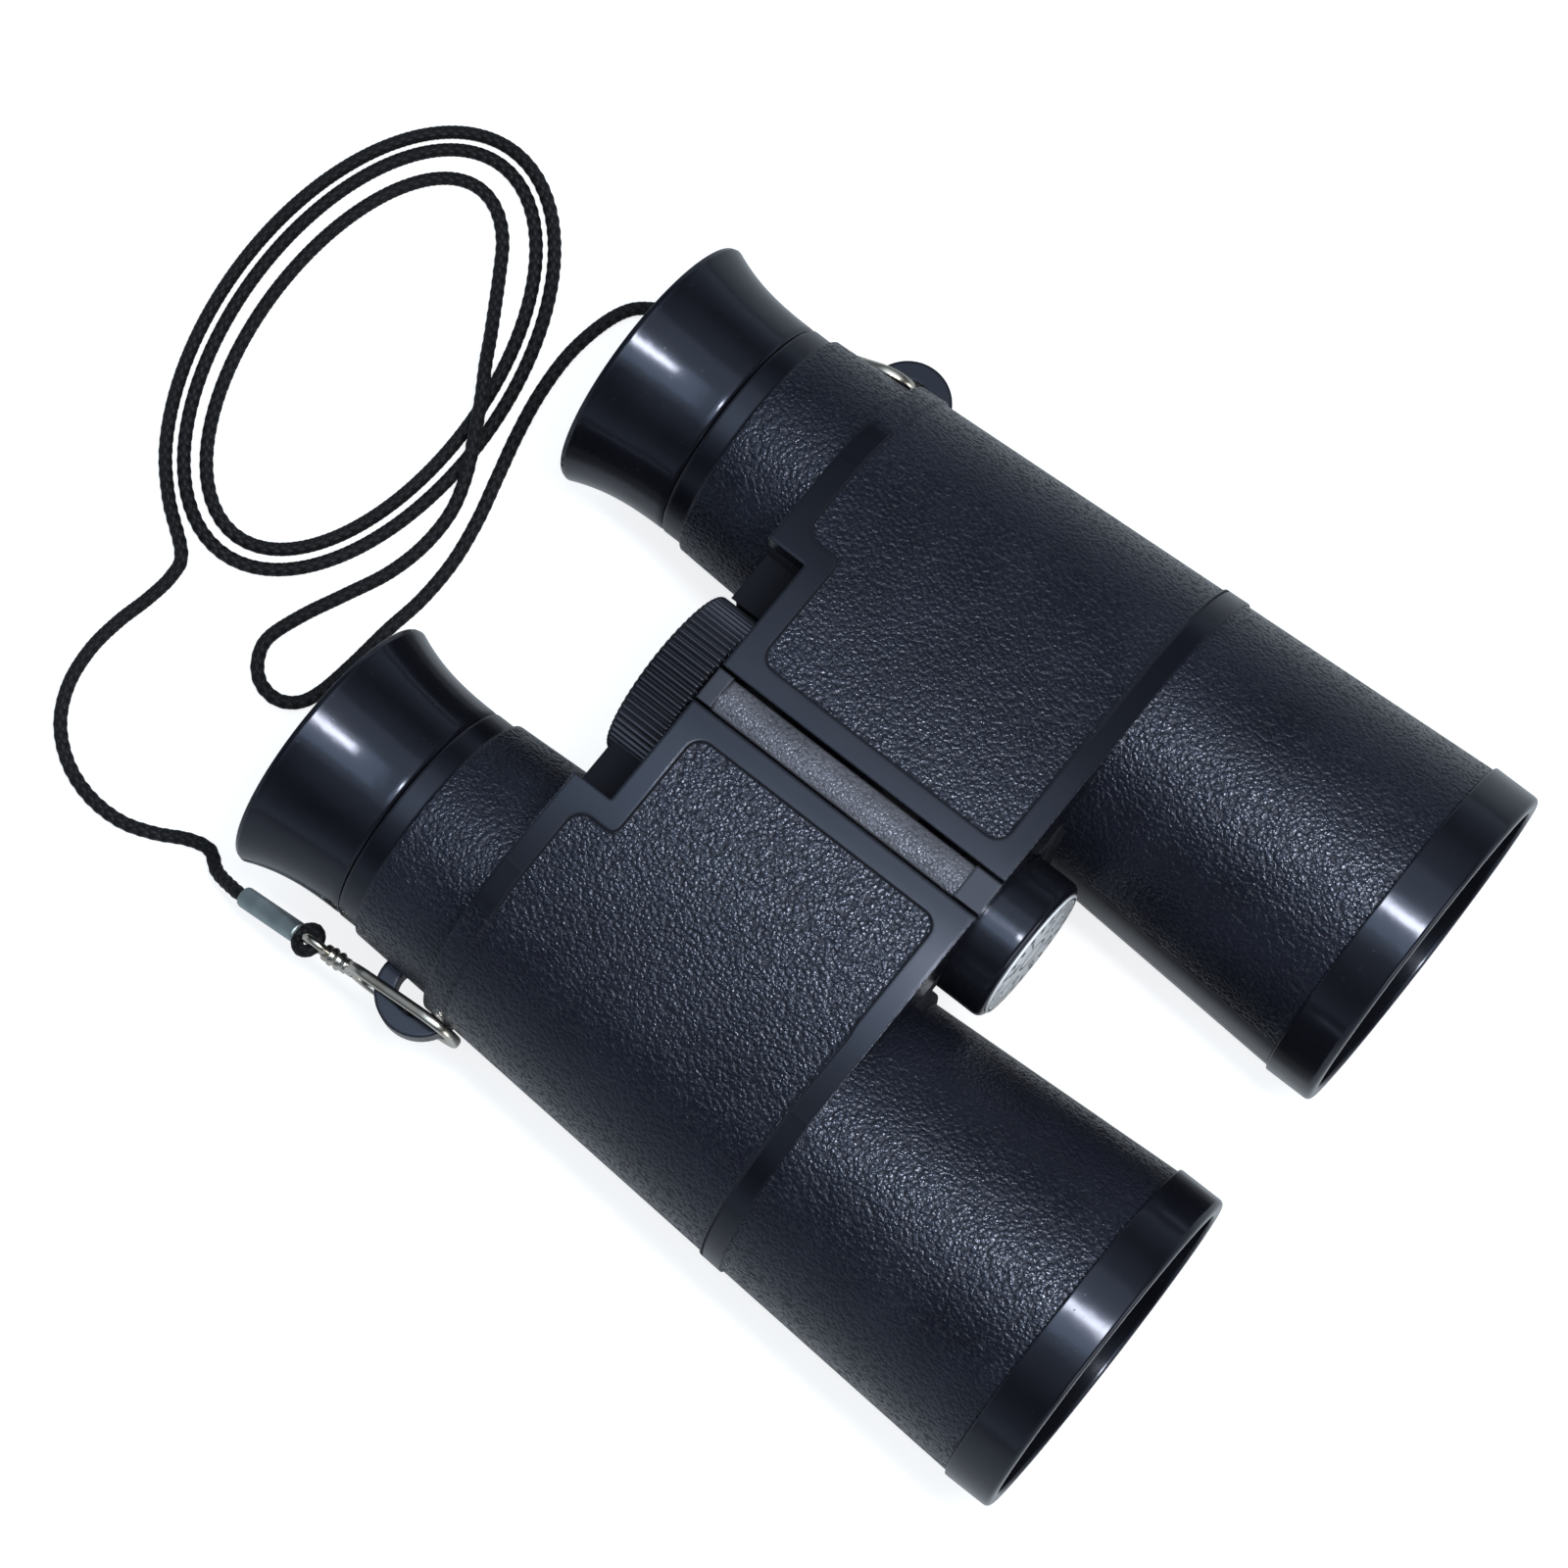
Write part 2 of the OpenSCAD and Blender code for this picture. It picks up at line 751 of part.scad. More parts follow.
module left_objective_ring() {
    color(gloss_black)
        objective_ring();
}

module right_objective_ring() {
    color(gloss_black)
        right_side()
            objective_ring();
}

module left_objective_lens() {
    color(glass_tint)
        objective_lens();
}

module right_objective_lens() {
    color(glass_tint)
        right_side()
            objective_lens();
}

module left_lens_retainer() {
    color(black)
        lens_retainer();
}

module right_lens_retainer() {
    color(black)
        right_side()
            lens_retainer();
}

// Eyecup: a flared cup with a partition that the eye lens sits against
function flare_r(u) = eyecup_neck_r + (eyecup_rim_r - eyecup_neck_r) * pow(u, flare_power);
module eyecup() {
    flare = [for (i = [0:flare_steps]) [flare_r(i / flare_steps), (eyecup_l - rim_edge) * i / flare_steps]];
    on_barrel(eyecup_y)
        rotate_extrude()
            polygon(concat(
                [[eye_tube_r + press_gap, 0]],
                flare,
                [
                    [eyecup_rim_r - rim_edge, eyecup_l],
                    [eyecup_rim_r - cup_rim_wall, eyecup_l],
                    [cup_floor_r, socket_l + partition_t],
                    [aperture_r, socket_l + partition_t],
                    [aperture_r, socket_l],
                    [eye_tube_r + press_gap, socket_l]
                ]
            ));
}

module eyepiece_tube(arm_y) {
    on_barrel(arm_y + arm_t)
        pipe(socket_end_y - arm_y - arm_t, eye_tube_r, eye_tube_inner_r);
}

module eye_lens() {
    on_barrel(socket_end_y - eye_lens_t)
        lens(eye_tube_inner_r - running_gap, eye_lens_t, eye_lens_bulge, eye_lens_rim);
}

module eye_retainer() {
    on_barrel(socket_end_y - eye_lens_t - eye_retainer_l)
        pipe(eye_retainer_l, eye_tube_inner_r - running_gap, eye_tube_inner_r - eye_retainer_wall);
}

// Focus arm: a ring on the focus screw, a bar and a ring on the eyepiece tube
module focus_arm(arm_y) {
    difference() {
        union() {
            on_hinge(arm_y)
                cylinder(h = arm_t, r = arm_ring_r);
            box(
                [0, arm_y, hinge_z - arm_drop - arm_h / 2],
                [barrel_x - eye_tube_inner_r + wall, arm_y + arm_t, hinge_z - arm_drop + arm_h / 2]
            );
            on_barrel(arm_y)
                cylinder(h = arm_t, r = eye_tube_r);
        }
        on_hinge(arm_y - overrun)
            cylinder(h = arm_t + 2 * overrun, r = screw_r + running_gap);
        on_barrel(arm_y - overrun)
            cylinder(h = arm_t + 2 * overrun, r = eye_tube_inner_r);
    }
}

module left_eyecup() {
    color(gloss_black)
        eyecup();
}

module right_eyecup() {
    color(gloss_black)
        right_side()
            eyecup();
}

module left_eyepiece_tube() {
    color(black)
        eyepiece_tube(left_arm_y);
}

module right_eyepiece_tube() {
    color(black)
        right_side()
            eyepiece_tube(right_arm_y);
}

module left_eye_lens() {
    color(glass_tint)
        eye_lens();
}

module right_eye_lens() {
    color(glass_tint)
        right_side()
            eye_lens();
}

module left_eye_retainer() {
    color(black)
        eye_retainer();
}

module right_eye_retainer() {
    color(black)
        right_side()
            eye_retainer();
}

module left_focus_arm() {
    color(black)
        focus_arm(left_arm_y);
}

module right_focus_arm() {
    color(black)
        right_side()
            focus_arm(right_arm_y);
}

// Strip between the webs: a crowned middle, two end tabs, and a plate behind the dial that hangs on the axle
module hinge_strip() {
    strip_z = top_z - strip_drop;
    crown_r = (strip_x * strip_x + strip_crown * strip_crown) / (2 * strip_crown);
    color(black)
        difference() {
            union() {
                intersection() {
                    box(
                        [-strip_x, plate_y, strip_low_z],
                        [strip_x, notch_y - overrun, top_z]
                    );
                    on_y(0, housing_front_y, strip_z - crown_r)
                        cylinder(h = housing_l, r = crown_r);
                }
                box(
                    [-strip_x, housing_front_y, hinge_z + dial_r + side_gap],
                    [strip_x, housing_front_y + strip_tab_l, top_z - tab_drop]
                );
                box(
                    [-strip_x, plate_y, hinge_z - plate_low],
                    [strip_x, plate_y + plate_t, hinge_z + dial_r + 2 * side_gap]
                );
                box(
                    [-strip_x, notch_y - strip_rear_tab_l, strip_low_z],
                    [strip_x, notch_y, top_z - tab_drop]
                );
            }
            on_hinge(plate_y - overrun)
                cylinder(h = plate_t + 2 * overrun, r = axle_r + press_gap);
        }
}

module hinge_axle() {
    axle_front_y = dial_y - dial_bore_l + side_gap;
    color(steel)
        on_hinge(axle_front_y)
            cylinder(h = wheel_back_y - side_gap - axle_front_y, r = axle_r);
}

module axle_nut() {
    color(steel)
        on_hinge(wheel_back_y - side_gap - nut_l)
            pipe(nut_l, nut_r, axle_r + press_gap);
}

// Dial: a glossy cap with a rounded front edge on the axle's front end
module dial_cap() {
    color(gloss_black)
        difference() {
            on_hinge(dial_y - dial_l)
                rotate_extrude() {
                    square([dial_r - dial_edge, dial_l]);
                    translate([0, dial_edge])
                        square([dial_r, dial_l - dial_edge]);
                    translate([dial_r - dial_edge, dial_edge])
                        circle(r = dial_edge);
                }
            on_hinge(dial_y - dial_bore_l)
                cylinder(h = dial_bore_l + overrun, r = axle_r + press_gap);
        }
}

module dial_label() {
    color(label_white)
        on_hinge(dial_y - dial_l - label_t)
            cylinder(h = label_t, r = label_r);
}

// Focus wheel with straight ribs, and the hollow screw that turns with it on the axle
module focus_wheel() {
    rim = [
        for (i = [0:wheel_ribs - 1])
            for (k = [0:3])
                let(a = 360 * (i + rib_shares[k]) / wheel_ribs, r = wheel_r - (k < 2 ? 0 : rib_d))
                [r * cos(a), r * sin(a)]
    ];
    color(gloss_black)
        on_hinge(wheel_y)
            difference() {
                linear_extrude(height = wheel_w)
                    polygon(rim);
                translate([0, 0, -overrun])
                    cylinder(h = wheel_w + 2 * overrun, r = axle_r + running_gap);
                translate([0, 0, wheel_w - nut_pocket_l])
                    cylinder(h = nut_pocket_l + overrun, r = nut_pocket_r);
            }
}

module focus_screw() {
    color(steel)
        on_hinge(screw_y)
            pipe(wheel_y - screw_y, screw_r, axle_r + running_gap);
}

// Snap clip of bent wire: two bars, a jaw that closes round the strap loop, and an eye for the cord
module clip(at, turn) {
    bar_y = [-clip_jaw / 2 + clip_half_h - clip_wire_r, clip_bar_l - clip_half_h];
    translate(at)
        rotate(turn) {
            for (z = [-clip_half_h, clip_half_h])
                on_y(0, bar_y[0], z)
                    cylinder(h = bar_y[1] - bar_y[0], r = clip_wire_r, $fn = 24);
            translate([0, bar_y[0], 0])
                clip_bend(180);
            translate([0, bar_y[1], 0])
                clip_bend(0);
            translate([0, clip_jaw / 2, -clip_half_h])
                cylinder(h = 2 * clip_half_h, r = clip_wire_r, $fn = 24);
            on_y(0, clip_bar_l, 0)
                cylinder(h = clip_l - clip_bar_l - clip_eye_r, r = clip_wire_r, $fn = 24);
            translate([0, clip_l, 0])
                rotate([0, 90, 0])
                    rotate_extrude($fn = 32)
                        translate([clip_eye_r, 0])
                            circle(r = clip_wire_r, $fn = 24);
        }
}

module clip_bend(turn) {
    rotate([turn, 0, 0])
        rotate([0, 90, 0])
            rotate_extrude(angle = 180, $fn = 48)
                translate([clip_half_h, 0])
                    circle(r = clip_wire_r, $fn = 24);
}

// Ring of cord through the clip's eye, and the crimped ferrule behind it
module cord_loop(at, turn) {
    translate(at)
        rotate(turn)
            rotate_extrude($fn = 48)
                translate([loop_r, 0])
                    circle(r = loop_wire_r, $fn = 24);
}

module ferrule(at, turn) {
    translate(at)
        rotate(turn)
            on_y(0, 0, 0)
                cylinder(h = ferrule_l, r = ferrule_r, $fn = 32);
}

module right_clip() {
    color(steel)
        clip(right_clip_at, right_clip_turn);
}

module left_clip() {
    color(steel)
        clip(left_clip_at, left_clip_turn);
}

module right_cord_loop() {
    color(cord_black)
        cord_loop(right_loop_at, right_ferrule_turn);
}

module left_cord_loop() {
    color(cord_black)
        cord_loop(left_loop_at, left_ferrule_turn);
}

module right_ferrule() {
    color(ferrule_grey)
        ferrule(right_ferrule_at, right_ferrule_turn);
}

module left_ferrule() {
    color(ferrule_grey)
        ferrule(left_ferrule_at, left_ferrule_turn);
}

module cord_right_lead() {
    color(cord_black)
        tube(right_lead, cord_r, lead_sides);
}

module cord_coil() {
    color(cord_black)
        tube(coil_path, cord_r, coil_sides);
}

module cord_left_lead() {
    color(cord_black)
        tube(left_lead, cord_r, lead_sides);
}

right_top_shell();
right_bottom_shell();
right_shell_screws();
right_objective_ring();
right_objective_lens();
right_lens_retainer();
right_eyecup();
right_eyepiece_tube();
right_eye_lens();
right_eye_retainer();
right_focus_arm();
left_top_shell();
left_bottom_shell();
left_shell_screws();
left_objective_ring();
left_objective_lens();
left_lens_retainer();
left_eyecup();
left_eyepiece_tube();
left_eye_lens();
left_eye_retainer();
left_focus_arm();
hinge_strip();
hinge_axle();
axle_nut();
dial_cap();
dial_label();
focus_wheel();
focus_screw();
right_clip();
right_cord_loop();
right_ferrule();
left_clip();
left_cord_loop();
left_ferrule();
cord_right_lead();
cord_coil();
cord_left_lead();
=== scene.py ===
# %% [markdown]
# # Toy binoculars with a neck cord
# Two moulded barrels on a hinge, with a ribbed focus wheel, a dial, flared eyecups and a braided cord.
# The rigid shapes come packed as a frame that can't be moved. This lesson dresses that frame: some nodes
# keep their shape and get a finish, others are replaced by finer surfaces that are worked out with numpy.

import bmesh
import bpy
import numpy as np
from mathutils import Matrix


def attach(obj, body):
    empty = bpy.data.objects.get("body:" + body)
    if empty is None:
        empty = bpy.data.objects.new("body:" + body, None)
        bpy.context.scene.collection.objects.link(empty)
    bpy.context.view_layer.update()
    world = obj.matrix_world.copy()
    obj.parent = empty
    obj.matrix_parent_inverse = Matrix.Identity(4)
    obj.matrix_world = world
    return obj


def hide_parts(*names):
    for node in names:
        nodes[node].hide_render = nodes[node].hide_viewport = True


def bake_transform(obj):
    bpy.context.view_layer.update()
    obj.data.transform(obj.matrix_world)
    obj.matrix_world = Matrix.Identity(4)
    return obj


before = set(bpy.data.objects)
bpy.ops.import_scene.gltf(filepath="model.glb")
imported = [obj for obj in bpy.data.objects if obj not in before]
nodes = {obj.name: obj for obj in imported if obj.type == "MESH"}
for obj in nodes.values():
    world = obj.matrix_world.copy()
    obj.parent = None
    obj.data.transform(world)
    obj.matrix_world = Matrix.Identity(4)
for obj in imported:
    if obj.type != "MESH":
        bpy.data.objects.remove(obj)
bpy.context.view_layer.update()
MM = 0.001

# %% [markdown]
# ## Camera
# The photograph looks down on the table from about half a metre. Its place was fitted to the ends and
# outlines of the two barrels. A camera's matrix has its right, up and backward directions as columns, so
# the fit goes straight in, and a long lens gives the flat perspective.

# %% Camera
camera_data = bpy.data.cameras.new("view")
camera_data.sensor_width = 36.0
camera_data.lens = 114.02
camera_data.clip_start = 0.01
camera = bpy.data.objects.new("view", camera_data)
PLACE = (-0.09794, -0.08391, 0.58866)
right = (0.62511, -0.78011, -0.02572)
down = (-0.76245, -0.60324, -0.23401)
ahead = (0.16704, 0.16589, -0.97189)
turn = Matrix((right, [-d for d in down], [-a for a in ahead])).transposed()
camera.matrix_world = Matrix.Translation(PLACE) @ turn.to_4x4()
bpy.context.collection.objects.link(camera)
bpy.context.scene.camera = camera
bpy.context.scene.view_settings.view_transform = "Standard"
print("camera at", camera.location[:])

# %% [markdown]
# ## Surfaces from arrays
# Every new piece is a grid of points, worked out as one array, with quads between neighbours. A grid may
# close on itself along either direction. Doubled points at seams and poles are merged, and the faces are
# turned outwards, so each piece ends as a closed skin.

# %% Helpers that turn arrays into meshes
def grid_quads(rows, cols, wrap_rows=False, wrap_cols=True):
    """Numbers of the four corners of each quad on a grid of points; a wrapped side joins its start."""
    i = np.arange(rows if wrap_rows else rows - 1)[:, None]
    j = np.arange(cols if wrap_cols else cols - 1)[None, :]
    i2, j2 = (i + 1) % rows, (j + 1) % cols
    return np.stack([i * cols + j, i2 * cols + j, i2 * cols + j2, i * cols + j2], -1).reshape(-1, 4)


def joined(parts):
    """One list of points and one of quads from several pairs of them, each numbered after the one before."""
    starts = np.cumsum([0] + [len(p.reshape(-1, 3)) for p, _ in parts])
    points = np.concatenate([p.reshape(-1, 3) for p, _ in parts])
    return points, np.concatenate([q + s for (_, q), s in zip(parts, starts)])


def piece(name, points, quads, uv=None, merge=1e-7):
    """Object at the origin with these points in metres and these quads, merged, outward and smooth."""
    mesh = bpy.data.meshes.new(name)
    mesh.vertices.add(points.size // 3)
    mesh.vertices.foreach_set("co", points.astype(np.float32).ravel())
    mesh.loops.add(quads.size)
    mesh.loops.foreach_set("vertex_index", quads.astype(np.int32).ravel())
    mesh.polygons.add(len(quads))
    mesh.polygons.foreach_set("loop_start", np.arange(0, quads.size, 4, dtype=np.int32))
    mesh.update(calc_edges=True)
    if uv is not None:
        mesh.uv_layers.new(name="along").data.foreach_set("uv", uv.astype(np.float32).ravel())
    work = bmesh.new()
    work.from_mesh(mesh)
    bmesh.ops.remove_doubles(work, verts=work.verts, dist=merge)
    bmesh.ops.recalc_face_normals(work, faces=work.faces)
    work.to_mesh(mesh)
    work.free()
    mesh.polygons.foreach_set("use_smooth", np.ones(len(mesh.polygons), dtype=bool))
    obj = bpy.data.objects.new(name, mesh)
    bpy.context.collection.objects.link(obj)
    print(name, len(mesh.polygons), "faces")
    return obj


# %% [markdown]
# ## Neck cord
# The cord leaves the right ferrule, drops to the table, winds two and a half loops, crosses its own
# loops, makes a bight and runs to the left ferrule. Its points repeat the route of the solid model. A
# curve through the points is cut into short equal steps, and a round section is carried along it. The
# plaits are part of the radius: two families of strands run round the cord in opposite turns, and the
# radius swells where they show.

# %% Route of the cord
CORD_D = 1.8
right_turn, left_turn = (-14.0, 2.5), (-24.0, 12.0)
right_sleeve_turn, left_sleeve_turn = (-29.0, 1.0), (-24.0, 12.0)


def run(turns):
    """Direction of a piece along Y, tipped by the first angle about X and swung by the second about Z."""
    tip, swing = np.radians(turns)
    return np.array([-np.sin(swing) * np.cos(tip), np.cos(swing) * np.cos(tip), np.sin(tip)])


CLIP_EYE, LOOP_R, LOOP_WIRE, SLEEVE_L, SLEEVE_R = 18.0, 1.5, 0.8, 10.6, 1.35
right_clip_at, left_clip_at = np.array([-48.05, 27.9, 17.6]), np.array([47.2, 34.9, 17.0])
right_loop_at = right_clip_at + run(right_turn) * (CLIP_EYE + 0.2) + run(right_sleeve_turn) * LOOP_R
left_loop_at = left_clip_at + run(left_turn) * (CLIP_EYE + 0.2) + run(left_sleeve_turn) * LOOP_R
right_sleeve_at = right_loop_at + run(right_sleeve_turn) * (LOOP_R + LOOP_WIRE - 0.6)
left_sleeve_at = left_loop_at + run(left_sleeve_turn) * (LOOP_R + LOOP_WIRE - 0.6)
right_cord_at = right_sleeve_at + run(right_sleeve_turn) * SLEEVE_L
left_cord_at = left_sleeve_at + run(left_sleeve_turn) * SLEEVE_L

COIL_POINTS, TURN_POINTS, COIL_PITCH = 62, 24, 2.4
COIL_LONG, COIL_SHORT, COIL_MIDDLE = 33.2, 20.2, [13.8, 91.9]
COIL_START, COIL_TILT = 150, np.radians(6)
turns = np.arange(COIL_POINTS)[:, None] / TURN_POINTS
angle = np.radians(COIL_START - 360 * turns)
inset = COIL_PITCH * turns + 2 * np.maximum(turns - 1.5, 0) ** 2
oval = np.hstack([(COIL_LONG - inset) * np.cos(angle), (COIL_SHORT - inset) * np.sin(angle)])
cosine, sine = np.cos(COIL_TILT), np.sin(COIL_TILT)
oval = oval @ np.array([[cosine, sine], [-sine, cosine]])
coil = np.hstack([oval + COIL_MIDDLE, np.full((COIL_POINTS, 1), CORD_D / 2)])
right_route = np.array([
    [-48.4, 63.2, 2.4], [-46.8, 66, 1.2], [-47.4, 69, 1], [-49.4, 72.8, 1], [-50.8, 77, 1], [-50.8, 82, 1],
    [-49.2, 86.8, 1], [-46, 90.8, 1], [-41.6, 93.2, 1], [-36.6, 94, 1], [-31.8, 93.6, 1], [-27.2, 92.6, 1],
    [-23.2, 92.2, 1], [-20.2, 93.2, 1],
])
left_route = np.array([
    [25.4, 81, 1.9], [21.6, 78.6, 3.2], [17.6, 76, 3.6], [13.4, 73.6, 3.6], [9, 71.4, 2.7],
    [4.4, 70.2, 1.4], [-1, 70.2, 1], [-6.4, 71.4, 1], [-11.8, 73.8, 1], [-17, 76.2, 1],
    [-21.8, 77.7, 1], [-24.8, 76.9, 1],
    [-26.8, 74.8, 1], [-27.2, 71.9, 1], [-25.8, 69.5, 1], [-23, 68.2, 1], [-18, 67.4, 1], [-12, 66.8, 1],
    [-6.4, 66, 1], [-0.4, 66, 1], [5.6, 67, 1], [11.4, 68.6, 1], [17.2, 70.2, 1], [23.2, 71.4, 1],
    [29.4, 71.8, 1], [35, 71, 1], [38.6, 69.4, 1.2], [40.4, 66.6, 2.4],
])
ends_right = np.array([right_cord_at, right_cord_at + run(right_sleeve_turn) * CORD_D])
ends_left = np.array([left_cord_at + run(left_sleeve_turn) * CORD_D, left_cord_at])
cord_points = np.concatenate([ends_right, right_route, coil, left_route, ends_left])
print("points on the route:", len(cord_points))


# %% Curve through the points, and the braided tube along it
def curve_through(p, spacing):
    """Cubic curve through the points, its slope at each from the two neighbours, cut into equal steps."""
    q = np.concatenate([2 * p[:1] - p[1:2], p, 2 * p[-1:] - p[-2:-1]])
    a, b, c, d = (q[k : len(q) - 3 + k, None] for k in range(4))
    u = np.linspace(0, 1, 32, endpoint=False)[None, :, None]
    fine = (2 * b + (c - a) * u + (2 * a - 5 * b + 4 * c - d) * u**2 + (3 * b - a - 3 * c + d) * u**3) / 2
    fine = np.concatenate([fine.reshape(-1, 3), p[-1:]])
    far = np.concatenate([[0], np.cumsum(np.linalg.norm(np.diff(fine, axis=0), axis=1))])
    steps = np.linspace(0, far[-1], int(far[-1] / spacing) + 1)
    return np.stack([np.interp(steps, far, fine[:, k]) for k in range(3)], 1), steps


def tube_frame(path):
    """Two unit directions across the path at each point, the first level and the second square to both."""
    along = np.gradient(path, axis=0)
    along /= np.linalg.norm(along, axis=1, keepdims=True)
    across = np.cross([0.0, 0.0, 1.0], along)
    across /= np.linalg.norm(across, axis=1, keepdims=True)
    return across[:, None], np.cross(along, across)[:, None]


def braided_tube(name, path, steps, radius, sides=16, plait=0.12, pitch=1.5):
    """Tube along a path; its radius swells by the product of two opposite spiral waves of four strands."""
    v = np.linspace(0, 2 * np.pi, sides, endpoint=False)[None, :]
    s = steps[:, None] * 2 * np.pi / pitch
    swell = np.sqrt(np.abs(np.cos(2 * v + s / 2) * np.cos(2 * v - s / 2)))
    edge = np.minimum(steps, steps[-1] - steps)[:, None]
    r = (radius - plait + plait * swell) * np.where(edge > 0, 1, 1e-4)
    across, up = tube_frame(path)
    points = path[:, None] + across * (r * np.cos(v))[..., None] + up * (r * np.sin(v))[..., None]
    quads = grid_quads(len(path), sides)
    i, j = np.divmod(np.arange(len(quads)), sides)
    around = np.stack([j, j, j + 1, j + 1], -1) / sides
    far = steps[np.stack([i, i + 1, i + 1, i], -1)] / pitch
    return piece(name, points * MM, quads, np.stack([around, far], -1))


cord_path, cord_steps = curve_through(cord_points, 0.2)
cord = braided_tube("neck_cord", cord_path, cord_steps, CORD_D / 2)
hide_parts("cord_right_lead", "cord_coil", "cord_left_lead")
lowest = cord_path[:, 2].min() - CORD_D / 2
print("cord length in mm:", round(cord_steps[-1], 1), "lowest:", round(lowest, 2))

# %% [markdown]
# ## Floor, surroundings and lamps
# The table is a plain grey floor that keeps the shadow. To the camera it also glows, more so far away
# where no lamp reaches, so it comes out white. Glossy black plastic shows its surroundings more than its
# own colour: they are pale at the horizon, which gives pale rims, dim higher up, which gives the dark
# sides, and softly bright overhead.

# %% Node helpers
def new_node(tree, kind, **values):
    """Adds a node; a value goes to the attribute of that name, or else to the input socket of that name."""
    node = tree.nodes.new(kind)
    for key, value in values.items():
        if hasattr(node, key):
            setattr(node, key, value)
        else:
            node.inputs[key.replace("_", " ")].default_value = value
    return node


def join(tree, *pairs):
    """Links each output socket to its input socket."""
    for out, into in pairs:
        tree.links.new(out, into)


def worked(tree, how, *terms):
    """Socket of a math node; a term is a socket or a plain number."""
    node = new_node(tree, "ShaderNodeMath", operation=how)
    for socket, term in zip(node.inputs, terms):
        if isinstance(term, (int, float)):
            socket.default_value = term
        else:
            tree.links.new(term, socket)
    return node.outputs[0]


def eased(tree, value, start, end, low=0.0, high=1.0):
    """Socket of a number that eases from low to high as the value goes from start to end."""
    node = new_node(tree, "ShaderNodeMapRange", interpolation_type="SMOOTHSTEP")
    for label, number in zip(("From Min", "From Max", "To Min", "To Max"), (start, end, low, high)):
        node.inputs[label].default_value = number
    tree.links.new(value, node.inputs["Value"])
    return node.outputs["Result"]


def new_material(name):
    """Material with only an output node, its tree and that node."""
    material = bpy.data.materials.new(name)
    material.use_nodes = True
    tree = material.node_tree
    tree.nodes.clear()
    return material, tree, new_node(tree, "ShaderNodeOutputMaterial")


# %% Floor
FLOOR_COLOUR = (0.38, 0.4, 0.42, 1)
NEAR_GLOW, FAR_GLOW, MIRRORED_FLOOR = 0.8, 1.0, 0.1
floor_finish, tree, out = new_material("pale_floor")
matt = new_node(tree, "ShaderNodeBsdfDiffuse", Color=FLOOR_COLOUR)
glow = new_node(tree, "ShaderNodeEmission")
rays = new_node(tree, "ShaderNodeLightPath").outputs
away = new_node(tree, "ShaderNodeVectorMath", operation="LENGTH")
join(tree, (new_node(tree, "ShaderNodeTexCoord").outputs["Object"], away.inputs[0]))
mirrored = worked(tree, "MULTIPLY", rays["Is Glossy Ray"], MIRRORED_FLOOR)
seen = worked(tree, "MAXIMUM", rays["Is Camera Ray"], rays["Is Transmission Ray"])
level = eased(tree, away.outputs["Value"], 0.2, 1.0, NEAR_GLOW, FAR_GLOW)
strength = worked(tree, "MULTIPLY", worked(tree, "MAXIMUM", seen, mirrored), level)
both = new_node(tree, "ShaderNodeAddShader")
join(tree, (strength, glow.inputs["Strength"]), (matt.outputs[0], both.inputs[0]))
join(tree, (glow.outputs[0], both.inputs[1]), (both.outputs[0], out.inputs["Surface"]))

FLOOR_REACH, FLOOR_Z = 4.0, -0.0001
reach = np.array([-FLOOR_REACH, FLOOR_REACH])
corners = np.stack(np.meshgrid(reach, reach, [FLOOR_Z], indexing="ij"), -1).reshape(-1, 3)
floor = piece("floor", corners, np.array([[0, 2, 3, 1]]))
floor.data.materials.append(floor_finish)

# %% Surroundings
SKY_COLOUR, WHITE = (0.74, 0.87, 1.0, 1.0), (1.0, 1.0, 1.0, 1.0)
HORIZON, HIGHER_UP, OVERHEAD, MIRRORED_EDGE = 0.4, 0.05, 0.5, 0.3
world = bpy.data.worlds.new("surroundings")
world.use_nodes = True
bpy.context.scene.world = world
tree = world.node_tree
tree.nodes.clear()
sight = new_node(tree, "ShaderNodeTexCoord").outputs["Generated"]
parts = new_node(tree, "ShaderNodeSeparateXYZ")
overhead = new_node(tree, "ShaderNodeVectorMath", operation="DOT_PRODUCT")
overhead.inputs[1].default_value = (0.05, 0.05, 0.9975)
join(tree, (sight, parts.inputs[0]), (sight, overhead.inputs[0]))
horizon = eased(tree, parts.outputs["Z"], 0.02, 0.55, HORIZON, HIGHER_UP)
plain = worked(tree, "ADD", horizon, eased(tree, overhead.outputs["Value"], 0.5, 1.0, 0.0, OVERHEAD))
rays = new_node(tree, "ShaderNodeLightPath").outputs
low_down = eased(tree, parts.outputs["Z"], 0.25, 0.0, 0.0, MIRRORED_EDGE)
mirrored = worked(tree, "MULTIPLY", rays["Is Glossy Ray"], low_down)
seen = worked(tree, "MAXIMUM", rays["Is Camera Ray"], rays["Is Transmission Ray"])
level = new_node(tree, "ShaderNodeMix")
level.inputs["B"].default_value = 1.0
join(tree, (worked(tree, "MAXIMUM", seen, mirrored), level.inputs["Factor"]), (plain, level.inputs["A"]))
colour = new_node(tree, "ShaderNodeMix", data_type="RGBA")
colour.inputs["A"].default_value, colour.inputs["B"].default_value = SKY_COLOUR, WHITE
sky = new_node(tree, "ShaderNodeBackground")
out = new_node(tree, "ShaderNodeOutputWorld")
join(tree, (seen, colour.inputs["Factor"]), (colour.outputs["Result"], sky.inputs["Color"]))
join(tree, (level.outputs["Result"], sky.inputs["Strength"]), (sky.outputs[0], out.inputs["Surface"]))
print("floor and surroundings set")


